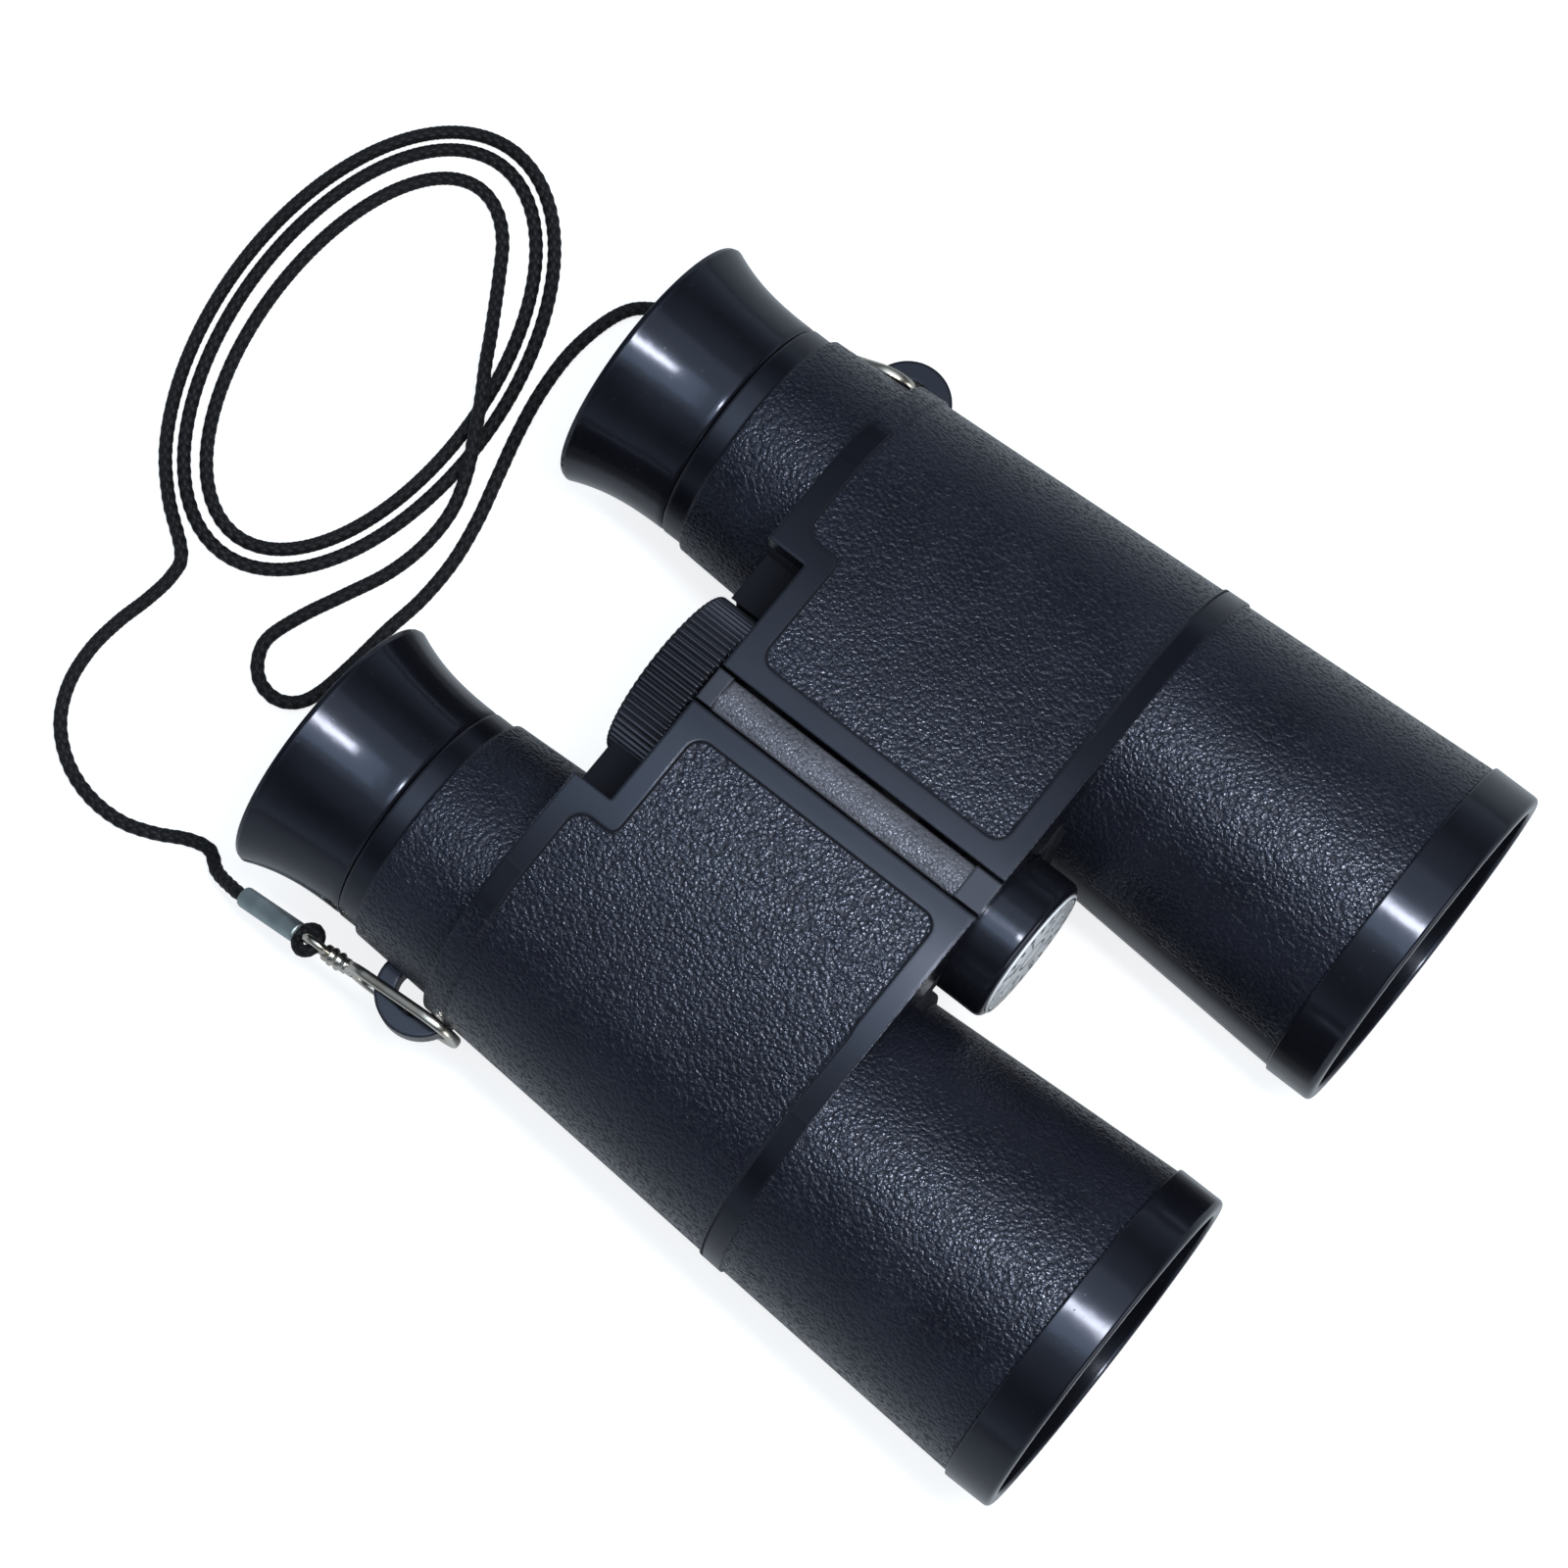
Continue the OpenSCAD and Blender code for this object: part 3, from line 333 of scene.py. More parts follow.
# %% [markdown]
# ## Lamps
# A narrow lamp close above draws the streaks on the eyecups and the spots on the rings. Two wider and
# weaker ones around it make the soft bluish halo beside each streak, as a lamp with a diffuser does. A
# weak one in front lights the printed disc and draws a pale line on the rings' front edges.

# %% Lamps
def lamp(name, place, aim, size, watts, tint):
    """Rectangular lamp at a place, looking towards its aim, with its first side along X."""
    data = bpy.data.lights.new(name, "AREA")
    data.shape = "RECTANGLE"
    data.size, data.size_y = size
    data.energy = watts
    data.color = tint
    obj = bpy.data.objects.new(name, data)
    back = np.array(place, float) - aim
    back /= np.linalg.norm(back)
    side = np.cross([0, 1, 0], back)
    side /= np.linalg.norm(side)
    up = np.cross(back, side)
    obj.matrix_world = Matrix.Translation(place) @ Matrix((side, up, back)).transposed().to_4x4()
    bpy.context.collection.objects.link(obj)


BODY = (0, 0, 0.04)
SOFT_BLUE = SKY_COLOUR[:3]
lamp("long_lamp", (-0.005, -0.12, 0.5), BODY, (0.05, 0.26), 1.6, (1.0, 0.98, 0.95))
lamp("halo_lamp", (-0.045, -0.07, 0.505), BODY, (0.22, 0.4), 0.5, (0.62, 0.82, 1.0))
lamp("soft_lamp", (0.02, -0.02, 0.51), BODY, (0.5, 0.6), 0.57, SOFT_BLUE)
lamp("front_lamp", (0.0, -0.62, 0.2), (0, 0, 0.03), (0.6, 0.25), 1.0, WHITE[:3])

# %% [markdown]
# ## Shared effects
# Effects that more than one finish uses are node groups. The leather grain is a field of small domes with
# rough creases between them: each dome has one spot that faces the lamp, and those spots sparkle. The
# mottle is a slow change of tone with a few specks of dust. The braid follows the cord's own coordinates,
# round it and along it.

# %% Node group: leather grain
def new_group(name, takes, gives):
    """Empty node group with inputs from {name: (kind, value)} and outputs from {name: kind}."""
    group = bpy.data.node_groups.new(name, "ShaderNodeTree")
    for label, (kind, value) in takes.items():
        socket = group.interface.new_socket(label, in_out="INPUT", socket_type=kind)
        if value is not None:
            socket.default_value = value
    for label, kind in gives.items():
        group.interface.new_socket(label, in_out="OUTPUT", socket_type=kind)
    return group, group.nodes.new("NodeGroupInput"), group.nodes.new("NodeGroupOutput")


VECTOR, NUMBER = "NodeSocketVector", "NodeSocketFloat"
WANDER, GRIT_SHARE, CREASE_FROM, CREASE_TO = 1.3, 0.22, 0.45, 0.75
grain_group, got, give = new_group(
    "leather_grain",
    {"Place": (VECTOR, None), "Bumps per metre": (NUMBER, 2000.0)},
    {"Height": NUMBER, "Ground": NUMBER},
)
scaled = new_node(grain_group, "ShaderNodeVectorMath", operation="SCALE")
drift = new_node(grain_group, "ShaderNodeTexNoise", Scale=0.9, Detail=2.0)
centred = new_node(grain_group, "ShaderNodeVectorMath", operation="SUBTRACT")
centred.inputs[1].default_value = (0.5, 0.5, 0.5)
bent = new_node(grain_group, "ShaderNodeVectorMath", operation="MULTIPLY_ADD")
bent.inputs[1].default_value = (WANDER, WANDER, WANDER)
cells = new_node(grain_group, "ShaderNodeTexVoronoi", feature="F1", Scale=1.0)
grit = new_node(grain_group, "ShaderNodeTexNoise", Scale=1.6, Detail=1.0)
join(grain_group, (got.outputs["Place"], scaled.inputs[0]))
join(grain_group, (got.outputs["Bumps per metre"], scaled.inputs["Scale"]))
join(grain_group, (scaled.outputs[0], drift.inputs["Vector"]), (drift.outputs["Color"], centred.inputs[0]))
join(grain_group, (centred.outputs[0], bent.inputs[0]), (scaled.outputs[0], bent.inputs[2]))
join(grain_group, (bent.outputs[0], cells.inputs["Vector"]), (bent.outputs[0], grit.inputs["Vector"]))
far = cells.outputs["Distance"]
dome = worked(grain_group, "MULTIPLY_ADD", worked(grain_group, "MULTIPLY", far, far), -1.0, 1.0)
height = worked(grain_group, "MULTIPLY_ADD", grit.outputs["Fac"], GRIT_SHARE, dome)
crease = eased(grain_group, far, CREASE_FROM, CREASE_TO)
join(grain_group, (height, give.inputs["Height"]), (crease, give.inputs["Ground"]))
print("group:", grain_group.name)

# %% Node group: mottle and dust
mottle_group, got, give = new_group(
    "mottle", {"Place": (VECTOR, None)}, {"Tone": NUMBER, "Dust": NUMBER, "Ripple": NUMBER}
)
cloud = new_node(mottle_group, "ShaderNodeTexNoise", Scale=90.0, Detail=3.0)
specks = new_node(mottle_group, "ShaderNodeTexNoise", Scale=1500.0, Detail=1.0)
ripple = new_node(mottle_group, "ShaderNodeTexNoise", Scale=260.0, Detail=2.0)
for texture in (cloud, specks, ripple):
    join(mottle_group, (got.outputs["Place"], texture.inputs["Vector"]))
dust = eased(mottle_group, specks.outputs["Fac"], 0.72, 0.8)
join(mottle_group, (cloud.outputs["Fac"], give.inputs["Tone"]), (dust, give.inputs["Dust"]))
join(mottle_group, (ripple.outputs["Fac"], give.inputs["Ripple"]))
print("group:", mottle_group.name)

# %% [markdown]
# ## Where the mould is grained
# The mould is textured on the tubes and on the panels, and polished on the borders, on the inner side of
# the tubes and on the strap loops. One group works out these zones from the place on the body: a panel is
# a distance to an outline with round corners. It also leans the normals of the tops outwards, by an angle
# that grows with the distance from the hinge until the round side leans as much, so that the tops shade
# like the gently domed ones of the real toy.


# %% Masks
def lies_between(tree, value, low, high, soft=0.0002):
    """Mask that is one where the value lies between low and high, with soft ends."""
    up = eased(tree, value, low - soft, low + soft)
    return worked(tree, "MULTIPLY", up, eased(tree, value, high + soft, high - soft))


def far_from_panel(tree, x, y, inner, front, back, corner):
    """Distance to a panel outside the inner line and between front and back, with round corners."""
    middle, half = (front + back) / 2, (back - front) / 2
    across = worked(tree, "SUBTRACT", inner + corner, x)
    from_middle = worked(tree, "ABSOLUTE", worked(tree, "SUBTRACT", y, middle))
    along = worked(tree, "SUBTRACT", from_middle, half - corner)
    out_x, out_y = worked(tree, "MAXIMUM", across, 0.0), worked(tree, "MAXIMUM", along, 0.0)
    square = worked(tree, "MULTIPLY_ADD", out_x, out_x, worked(tree, "MULTIPLY", out_y, out_y))
    within = worked(tree, "MINIMUM", worked(tree, "MAXIMUM", across, along), 0.0)
    return worked(tree, "SUBTRACT", worked(tree, "ADD", worked(tree, "SQRT", square), within), corner)


def all_of(tree, *masks):
    """Product of several masks."""
    result = masks[0]
    for mask in masks[1:]:
        result = worked(tree, "MULTIPLY", result, mask)
    return result


def any_of(tree, *masks):
    """Largest of several masks."""
    result = masks[0]
    for mask in masks[1:]:
        result = worked(tree, "MAXIMUM", result, mask)
    return result


# %% Zones of the mould, in metres, with x counted from the hinge outwards
FAR = 1.0
FRONT_TUBE, REAR_TUBE, HOUSING = {"y": (-0.0525, -0.0172)}, {"y": (0.0290, 0.0408)}, {"y": (-0.0172, 0.0290)}
INNER_HALF, INNER_SIDE = {"x": (-FAR, 0.030)}, {"x": (-FAR, 0.030), "z": (0.016, 0.028)}
STRAP_LOOP = {"x": (0.0456, FAR), "z": (0.0152, 0.0188)}
HINGE_STRIP = {"x": (-FAR, 0.0021), "y": (-0.0135, 0.0215)}
REAR_SIDE, REAR_SIDE_X, REAR_SIDE_SOFT = {"y": (0.0230, 0.0300)}, 0.0365, 0.0012
# WHEEL_PIT and DIAL_CORNER: the recess behind the wheel and the web corner by the dial, darkened with
# painted shade.
WHEEL_PIT = {"x": (-FAR, 0.0205), "y": (0.0238, 0.0297), "z": (-FAR, 0.0385)}
DIAL_CORNER = {"x": (-FAR, 0.0135), "y": (-0.0180, -0.0169), "z": (-FAR, 0.0345)}
SHORT_PANEL, LONG_PANEL, CORNER_R = (0.0056, -0.0142, 0.0207), (0.0206, -0.0142, 0.0260), 0.002
SEAM_Z, PANEL_LINE, LINE_SOFT = (0.0279, 0.0282), (-0.00012, 0.00018), 0.0001

zone_group, got, give = new_group(
    "grained_zones",
    {"Place": (VECTOR, None)},
    {"Mask": NUMBER, "Line": NUMBER, "Pit shade": NUMBER, "Lean": VECTOR},
)
axes = new_node(zone_group, "ShaderNodeSeparateXYZ")
join(zone_group, (got.outputs["Place"], axes.inputs[0]))
x, y, z = worked(zone_group, "ABSOLUTE", axes.outputs["X"]), axes.outputs["Y"], axes.outputs["Z"]


def within(spans):
    """Mask of the places whose coordinates lie in all the given spans."""
    place = {"x": x, "y": y, "z": z}
    masks = [lies_between(zone_group, place[axis], *span) for axis, span in spans.items()]
    return all_of(zone_group, *masks)


def outside(mask):
    """The rest of a mask: one minus it."""
    return worked(zone_group, "SUBTRACT", 1.0, mask)


# %% Grained places, painted shade in the panel grooves and pits, and the seam
front_tube, housing = within(FRONT_TUBE), within(HOUSING)
rough_front = all_of(zone_group, front_tube, outside(within(INNER_SIDE)))
short_panel = far_from_panel(zone_group, x, y, *SHORT_PANEL, CORNER_R)
long_panel = far_from_panel(zone_group, x, y, *LONG_PANEL, CORNER_R)
to_panel = worked(zone_group, "SMOOTH_MIN", short_panel, long_panel, CORNER_R)
panel = lies_between(zone_group, to_panel, -FAR, 0.0, 0.00008)
rear_side = lies_between(zone_group, x, REAR_SIDE_X, FAR, REAR_SIDE_SOFT)
rear_side = all_of(zone_group, within(REAR_SIDE), rear_side)
mask = any_of(zone_group, rough_front, within(REAR_TUBE), panel, rear_side, within(HINGE_STRIP))
mask = all_of(zone_group, mask, outside(within(STRAP_LOOP)))
# The groove round each panel is a line of painted shade along the small step at its edge; the seam is the
# mould's parting line.
groove = lies_between(zone_group, to_panel, *PANEL_LINE, LINE_SOFT)
groove = all_of(zone_group, groove, housing, outside(rear_side))
seam = all_of(zone_group, front_tube, within(INNER_HALF), lies_between(zone_group, z, *SEAM_Z, LINE_SOFT))
# Painted shade in the recess behind the wheel and on the web corner beside the dial.
pit_shade = any_of(zone_group, within(WHEEL_PIT), within(DIAL_CORNER))
join(zone_group, (mask, give.inputs["Mask"]), (pit_shade, give.inputs["Pit shade"]))
join(zone_group, (any_of(zone_group, groove, seam), give.inputs["Line"]))

# %% Lean of the tops
EDGE_X, EDGE_SLOPE, SIDE_R, SIDE_SINE = 0.0318, -0.0574, 0.0202, 0.157
DOME_X, DOME_BEND, TOP_Z = 0.004, 12.5, 0.0395
past = worked(zone_group, "SUBTRACT", x, worked(zone_group, "MULTIPLY_ADD", y, EDGE_SLOPE, EDGE_X))
sine = worked(zone_group, "MULTIPLY_ADD", past, 1 / SIDE_R, SIDE_SINE)
sine = all_of(zone_group, sine, eased(zone_group, past, -0.0005, 0.0005))
cosine = worked(zone_group, "SQRT", outside(worked(zone_group, "MULTIPLY", sine, sine)))
domed = worked(zone_group, "MULTIPLY", worked(zone_group, "SUBTRACT", x, DOME_X), DOME_BEND)
lean = worked(zone_group, "SUBTRACT", worked(zone_group, "MULTIPLY", domed, cosine), sine)
lean = all_of(zone_group, worked(zone_group, "MAXIMUM", lean, 0.0), housing, within({"z": (TOP_Z, FAR)}))
lean = worked(zone_group, "MULTIPLY", lean, worked(zone_group, "SIGN", axes.outputs["X"]))
outward = new_node(zone_group, "ShaderNodeCombineXYZ")
join(zone_group, (lean, outward.inputs[0]), (outward.outputs[0], give.inputs["Lean"]))
print("group:", zone_group.name)

# %% Node group: braid
braid_group, got, give = new_group("braid", {"Along": (VECTOR, None)}, {"Height": NUMBER, "Gap": NUMBER})
axes = new_node(braid_group, "ShaderNodeSeparateXYZ")
join(braid_group, (got.outputs["Along"], axes.inputs[0]))


def strand_wave(sign):
    """Height of one family of strands: absolute cosine of two turns round the cord and half a turn along."""
    along = worked(braid_group, "MULTIPLY", axes.outputs["Y"], sign * np.pi)
    phase = worked(braid_group, "MULTIPLY_ADD", axes.outputs["X"], 4 * np.pi, along)
    return worked(braid_group, "ABSOLUTE", worked(braid_group, "COSINE", phase))


plaits = worked(braid_group, "MULTIPLY", strand_wave(1), strand_wave(-1))
# Gap shade marks the gaps between strands, where the finish paints shade.
gap_shade = eased(braid_group, plaits, 0.35, 0.0)
join(braid_group, (plaits, give.inputs["Height"]), (gap_shade, give.inputs["Gap"]))
print("group:", braid_group.name)

# %% [markdown]
# ## Finishes
# The body is a slightly bluish black plastic. Where the mould is grained it is covered with small shiny
# domes, and its borders are smooth and satin. The creases between the domes, the grooves round the panels
# and the pits carry painted shade in their colour. Rings, eyecups, wheel and dial come from polished moulds.
# Moulded edges are never quite sharp, so a bevelled normal softens the edges of the nodes that keep their
# solid shape.

# %% Helpers for finishes
def coordinates(tree, kind="Object"):
    """Socket of a piece's own coordinates."""
    return new_node(tree, "ShaderNodeTexCoord").outputs[kind]


def use(tree, group, **feeds):
    """Places a node group and links the given sockets to its inputs of the same names."""
    node = tree.nodes.new("ShaderNodeGroup")
    node.node_tree = group
    for label, socket in feeds.items():
        tree.links.new(socket, node.inputs[label.replace("_", " ")])
    return node


def spread(tree, value, low, high, start=0.0, end=1.0):
    """Number that goes from low to high as the value goes from start to end."""
    node = new_node(tree, "ShaderNodeMapRange")
    node.inputs["From Min"].default_value, node.inputs["From Max"].default_value = start, end
    node.inputs["To Min"].default_value, node.inputs["To Max"].default_value = low, high
    tree.links.new(value, node.inputs["Value"])
    return node.outputs["Result"]


def tint(tree, value, low, high):
    """Colour that goes from low to high as the value goes from 0 to 1."""
    node = new_node(tree, "ShaderNodeMix", data_type="RGBA")
    node.inputs["A"].default_value, node.inputs["B"].default_value = (*low, 1), (*high, 1)
    tree.links.new(value, node.inputs["Factor"])
    return node.outputs["Result"]


def raised(tree, height, depth, edge=0.0, lean=None):
    """Normal of a surface whose height varies by this depth in metres, over edges softened by this radius.
    A lean is added to the normal first, turned from the piece's own directions to those of the room."""
    bump = new_node(tree, "ShaderNodeBump", Distance=depth)
    tree.links.new(height, bump.inputs["Height"])
    if edge:
        soft = new_node(tree, "ShaderNodeBevel", samples=6, Radius=edge)
        tree.links.new(soft.outputs["Normal"], bump.inputs["Normal"])
    if lean:
        kinds = {"vector_type": "VECTOR", "convert_from": "OBJECT", "convert_to": "WORLD"}
        leaning = new_node(tree, "ShaderNodeVectorTransform", **kinds)
        sum_of = new_node(tree, "ShaderNodeVectorMath", operation="ADD")
        unit = new_node(tree, "ShaderNodeVectorMath", operation="NORMALIZE")
        join(tree, (lean, leaning.inputs[0]), (soft.outputs["Normal"], sum_of.inputs[0]))
        join(tree, (leaning.outputs[0], sum_of.inputs[1]), (sum_of.outputs[0], unit.inputs[0]))
        join(tree, (unit.outputs[0], bump.inputs["Normal"]))
    return bump.outputs["Normal"]


def principled(tree, out, **values):
    """Principled shader with these constants on its sockets; gives back its inputs."""
    shader = new_node(tree, "ShaderNodeBsdfPrincipled")
    for label, value in values.items():
        shader.inputs[label.replace("_", " ")].default_value = value
    tree.links.new(shader.outputs["BSDF"], out.inputs["Surface"])
    return shader.inputs


# %% Finishes of the plastic parts
BLUISH = (0.76, 0.81, 1.0, 1.0)
# PAINTED_CREASE_SHADE darkens the colour in the grain's creases: painted shade.
CREASE_ROUGH, PAINTED_CREASE_SHADE, ROUGH_DRIFT = 0.35, 0.25, 0.1
SATIN_ROUGH, DOME_ROUGH, SATIN_TONE = 0.2, 0.08, 0.1


def grained_plastic(name, bumps, depth, low, high, edge):
    """Black plastic, grained inside the mould's zones and smooth satin outside them."""
    material, tree, out = new_material(name)
    place = coordinates(tree)
    zone = use(tree, zone_group, Place=place).outputs
    grain = use(tree, grain_group, Place=place)
    grain.inputs["Bumps per metre"].default_value = bumps
    mottle = use(tree, mottle_group, Place=place).outputs
    surface = principled(tree, out, IOR=1.5, Specular_IOR_Level=0.5, Specular_Tint=BLUISH)
    uneven = spread(tree, mottle["Tone"], 0.6, 1.4)
    height = all_of(tree, grain.outputs["Height"], zone["Mask"], uneven)
    ground = all_of(tree, grain.outputs["Ground"], zone["Mask"])
    # Painted shade in the grooves and pits, and the dark seam, darken the colour and make it fully rough.
    shade_and_seam = any_of(tree, zone["Line"], zone["Pit shade"])
    rough = spread(tree, zone["Mask"], SATIN_ROUGH, DOME_ROUGH)
    rough = worked(tree, "MULTIPLY_ADD", ground, CREASE_ROUGH, rough)
    rough = worked(tree, "MULTIPLY_ADD", mottle["Tone"], ROUGH_DRIFT, rough)
    rough = any_of(tree, rough, shade_and_seam)
    # Painted shade: the colour is darkened in the grain's creases, and in the grooves and pits.
    painted_shade = any_of(tree, worked(tree, "MULTIPLY", ground, PAINTED_CREASE_SHADE), shade_and_seam)
    tone = worked(tree, "SUBTRACT", mottle["Tone"], painted_shade)
    tone = all_of(tree, tone, spread(tree, zone["Mask"], SATIN_TONE, 1.0))
    join(tree, (tint(tree, tone, low, high), surface["Base Color"]), (rough, surface["Roughness"]))
    join(tree, (raised(tree, height, depth, edge, zone["Lean"]), surface["Normal"]))
    return material


def smooth_plastic(name, low, high, dull, ripple, edge=0.0):
    """Polished black plastic with faint ripples of the mould and a few specks of dust."""
    material, tree, out = new_material(name)
    mottle = use(tree, mottle_group, Place=coordinates(tree)).outputs
    surface = principled(tree, out, IOR=1.5, Specular_IOR_Level=0.5, Specular_Tint=BLUISH)
    rough = worked(tree, "MULTIPLY_ADD", mottle["Dust"], 0.15, spread(tree, mottle["Tone"], *dull))
    tone = worked(tree, "ADD", mottle["Tone"], mottle["Dust"])
    join(tree, (tint(tree, tone, low, high), surface["Base Color"]), (rough, surface["Roughness"]))
    join(tree, (raised(tree, mottle["Ripple"], ripple, edge), surface["Normal"]))
    return material


body_dark, body_pale = (0.003, 0.0032, 0.0052), (0.013, 0.0145, 0.024)
body_black = grained_plastic("grained_black", 1950.0, 0.00012, body_dark, body_pale, 0.0006)
strip_dark, strip_pale = (0.012, 0.0125, 0.016), (0.16, 0.163, 0.19)
strip_black = grained_plastic("strip_black", 2500.0, 0.00008, strip_dark, strip_pale, 0.0004)
gloss_dark, gloss_pale = (0.004, 0.004, 0.006), (0.008, 0.0085, 0.0125)
gloss_black = smooth_plastic("gloss_black", gloss_dark, gloss_pale, (0.12, 0.2), 0.00003)
wheel_dark, wheel_pale = (0.008, 0.008, 0.011), (0.016, 0.017, 0.022)
wheel_black = smooth_plastic("wheel_black", wheel_dark, wheel_pale, (0.3, 0.42), 0.00004)
inner_dark, inner_pale = (0.006, 0.006, 0.007), (0.012, 0.012, 0.014)
inner_black = smooth_plastic("inner_black", inner_dark, inner_pale, (0.5, 0.65), 0.00006, 0.0002)
print("finishes:", [m.name for m in bpy.data.materials])


# %% [markdown]
# ## Metal, glass, print and braid
# The clip is bright nickel-plated wire, the sleeve dull grey metal, and the hidden screws and axle are
# plain steel. Metals differ by colour and by how much their roughness wanders. Lenses are clear moulded
# plastic with a faint film. The braid takes its strands from the cord's own coordinates and its sheen
# from fine fibres; its colour is darkened in the gaps between strands, which is painted shade.

# %% Finishes of metal, glass and cord
def metal(name, low, high, dull, ripple, edge=0.0):
    """Metal whose colour and roughness wander with the mottle."""
    material, tree, out = new_material(name)
    mottle = use(tree, mottle_group, Place=coordinates(tree))
    surface = principled(tree, out, Metallic=1.0)
    join(tree, (tint(tree, mottle.outputs["Ripple"], low, high), surface["Base Color"]))
    join(tree, (spread(tree, mottle.outputs["Tone"], *dull), surface["Roughness"]))
    join(tree, (raised(tree, mottle.outputs["Ripple"], ripple, edge), surface["Normal"]))
    return material


nickel = metal("nickel_wire", (0.5, 0.43, 0.33), (0.86, 0.83, 0.78), (0.14, 0.3), 0.00006)
sleeve_metal = metal("crimp_metal", (0.3, 0.36, 0.38), (0.5, 0.57, 0.58), (0.4, 0.52), 0.00006)
steel = metal("steel", (0.42, 0.42, 0.43), (0.6, 0.6, 0.6), (0.25, 0.4), 0.00005, 0.0001)

lens_glass, tree, out = new_material("lens_glass")
mottle = use(tree, mottle_group, Place=coordinates(tree))
surface = principled(tree, out, IOR=1.49, Transmission_Weight=1.0)
film = tint(tree, mottle.outputs["Tone"], (0.72, 0.8, 0.86), (0.85, 0.9, 0.93))
join(tree, (film, surface["Base Color"]))
join(tree, (spread(tree, mottle.outputs["Dust"], 0.02, 0.2), surface["Roughness"]))

braid_black, tree, out = new_material("cord_braid")
braid = use(tree, braid_group, Along=coordinates(tree, "UV"))
mottle = use(tree, mottle_group, Place=coordinates(tree))
surface = principled(tree, out, Sheen_Weight=0.04, Sheen_Roughness=0.4, Specular_IOR_Level=0.25)
# Painted shade: the base colour darkens in the gaps between strands.
shade = worked(tree, "SUBTRACT", mottle.outputs["Tone"], braid.outputs["Gap"])
join(tree, (tint(tree, shade, (0.0015, 0.0015, 0.002), (0.012, 0.0125, 0.017)), surface["Base Color"]))
join(tree, (spread(tree, mottle.outputs["Ripple"], 0.5, 0.75), surface["Roughness"]))
join(tree, (raised(tree, braid.outputs["Height"], 0.00012), surface["Normal"]))
cord.data.materials.append(braid_black)
print("cord finish:", cord.data.materials[0].name)

# %% [markdown]
# ## Turned pieces
# Rings, eyecups and the dial are round about the barrel or hinge line, so each is one outline carried
# round. Corners of the outline are rounded first, each by its own reach, because an edge that catches
# light has to be a real rounding in the mesh.

# %% Outline helpers
BARREL_X, AXIS_Z, HINGE_Z = 30.0, 22.0, 30.0
ARC_POINTS = 7
CORNER_POINTS = ARC_POINTS + 2


def softened(corners, reach):
    """Rounds a closed outline: at each corner C a parabola runs between the points A and B that lie the
    corner's reach before and after it, (1-t)^2 A + 2t(1-t) C + t^2 B, with one point outside either end."""
    c = np.asarray(corners, float)
    reach = np.broadcast_to(np.asarray(reach, float), len(c))[:, None]
    before, after = np.roll(c, 1, 0) - c, np.roll(c, -1, 0) - c
    before /= np.linalg.norm(before, axis=1, keepdims=True)
    after /= np.linalg.norm(after, axis=1, keepdims=True)
    t = np.linspace(0, 1, ARC_POINTS)[None, :, None]
    a, b = (c + before * reach)[:, None], (c + after * reach)[:, None]
    arc = (1 - t) ** 2 * a + 2 * t * (1 - t) * c[:, None] + t**2 * b
    outer_a, outer_b = (c + before * reach * 1.3)[:, None], (c + after * reach * 1.3)[:, None]
    return np.concatenate([outer_a, arc, outer_b], 1).reshape(-1, 2)


def turned(x, z, outline, around=144, closed=True):
    """Points (x + r sin v, y, z + r cos v) for each (r, y) of the outline and angle v, with their quads."""
    v = np.linspace(0, 2 * np.pi, around, endpoint=False)[None, :]
    r, y = outline[:, :1], outline[:, 1:]
    points = np.stack([x + r * np.sin(v), y + 0 * v, z + r * np.cos(v)], -1)
    return points, grid_quads(len(outline), around, wrap_rows=closed)


SIDES = {"right": -BARREL_X, "left": BARREL_X}

# %% Objective rings
ring_outline = softened(
    [
        [20.0, -58.0], [22.0, -58.0], [22.0, -51.7], [19.3, -51.7], [19.3, -46.1],
        [18.3, -46.1], [18.3, -50.2], [17.2, -50.2], [17.2, -53.2], [20.0, -53.2],
    ],
    [0.35, 0.8, 0.25, 0.1, 0.2, 0.2, 0.1, 0.1, 0.3, 0.2],
)
rings = {}
for side, x in SIDES.items():
    points, quads = turned(x, AXIS_Z, ring_outline)
    rings[side] = piece(side + "_ring", points * MM, quads)
    rings[side].data.materials.append(gloss_black)
    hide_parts(side + "_objective_ring")
    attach(rings[side], side + "_half")

# %% Eyecups
CUP_R, CUP_FLARE, CUP_Y, CUP_L = 14.9, 2.2, 44.0, 13.3
u = np.linspace(0, 1, 40)
flare = np.stack([CUP_R + CUP_FLARE * u**2.6, CUP_Y + CUP_L * u], 1)
inside = softened(
    [
        [17.1, 57.3], [16.9, 58.0], [15.6, 58.0], [11.4, 49.2], [8.5, 49.2],
        [8.5, 47.6], [12.96, 47.6], [12.96, 44.0], [14.9, 44.0],
    ],
    [0.1, 0.3, 0.45, 0.5, 0.3, 0.2, 0.1, 0.2, 0.3],
)
half_corner = CORNER_POINTS // 2
cup_outline = np.concatenate([flare[2:-1], inside[half_corner : -half_corner - 1]])
cups = {}
for side, x in SIDES.items():
    points, quads = turned(x, AXIS_Z, cup_outline)
    cups[side] = piece(side + "_cup", points * MM, quads)
    cups[side].data.materials.append(gloss_black)
    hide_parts(side + "_eyecup")
    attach(cups[side], side + "_eyepiece")

# %% [markdown]
# ## Dial and focus wheel
# The dial is a short polished drum on the front of the hinge, with a pale printed disc. The wheel behind
# the webs is a drum whose rim has straight ribs: its radius dips in a wave round the rim, and the dip
# fades out at the rounded ends.

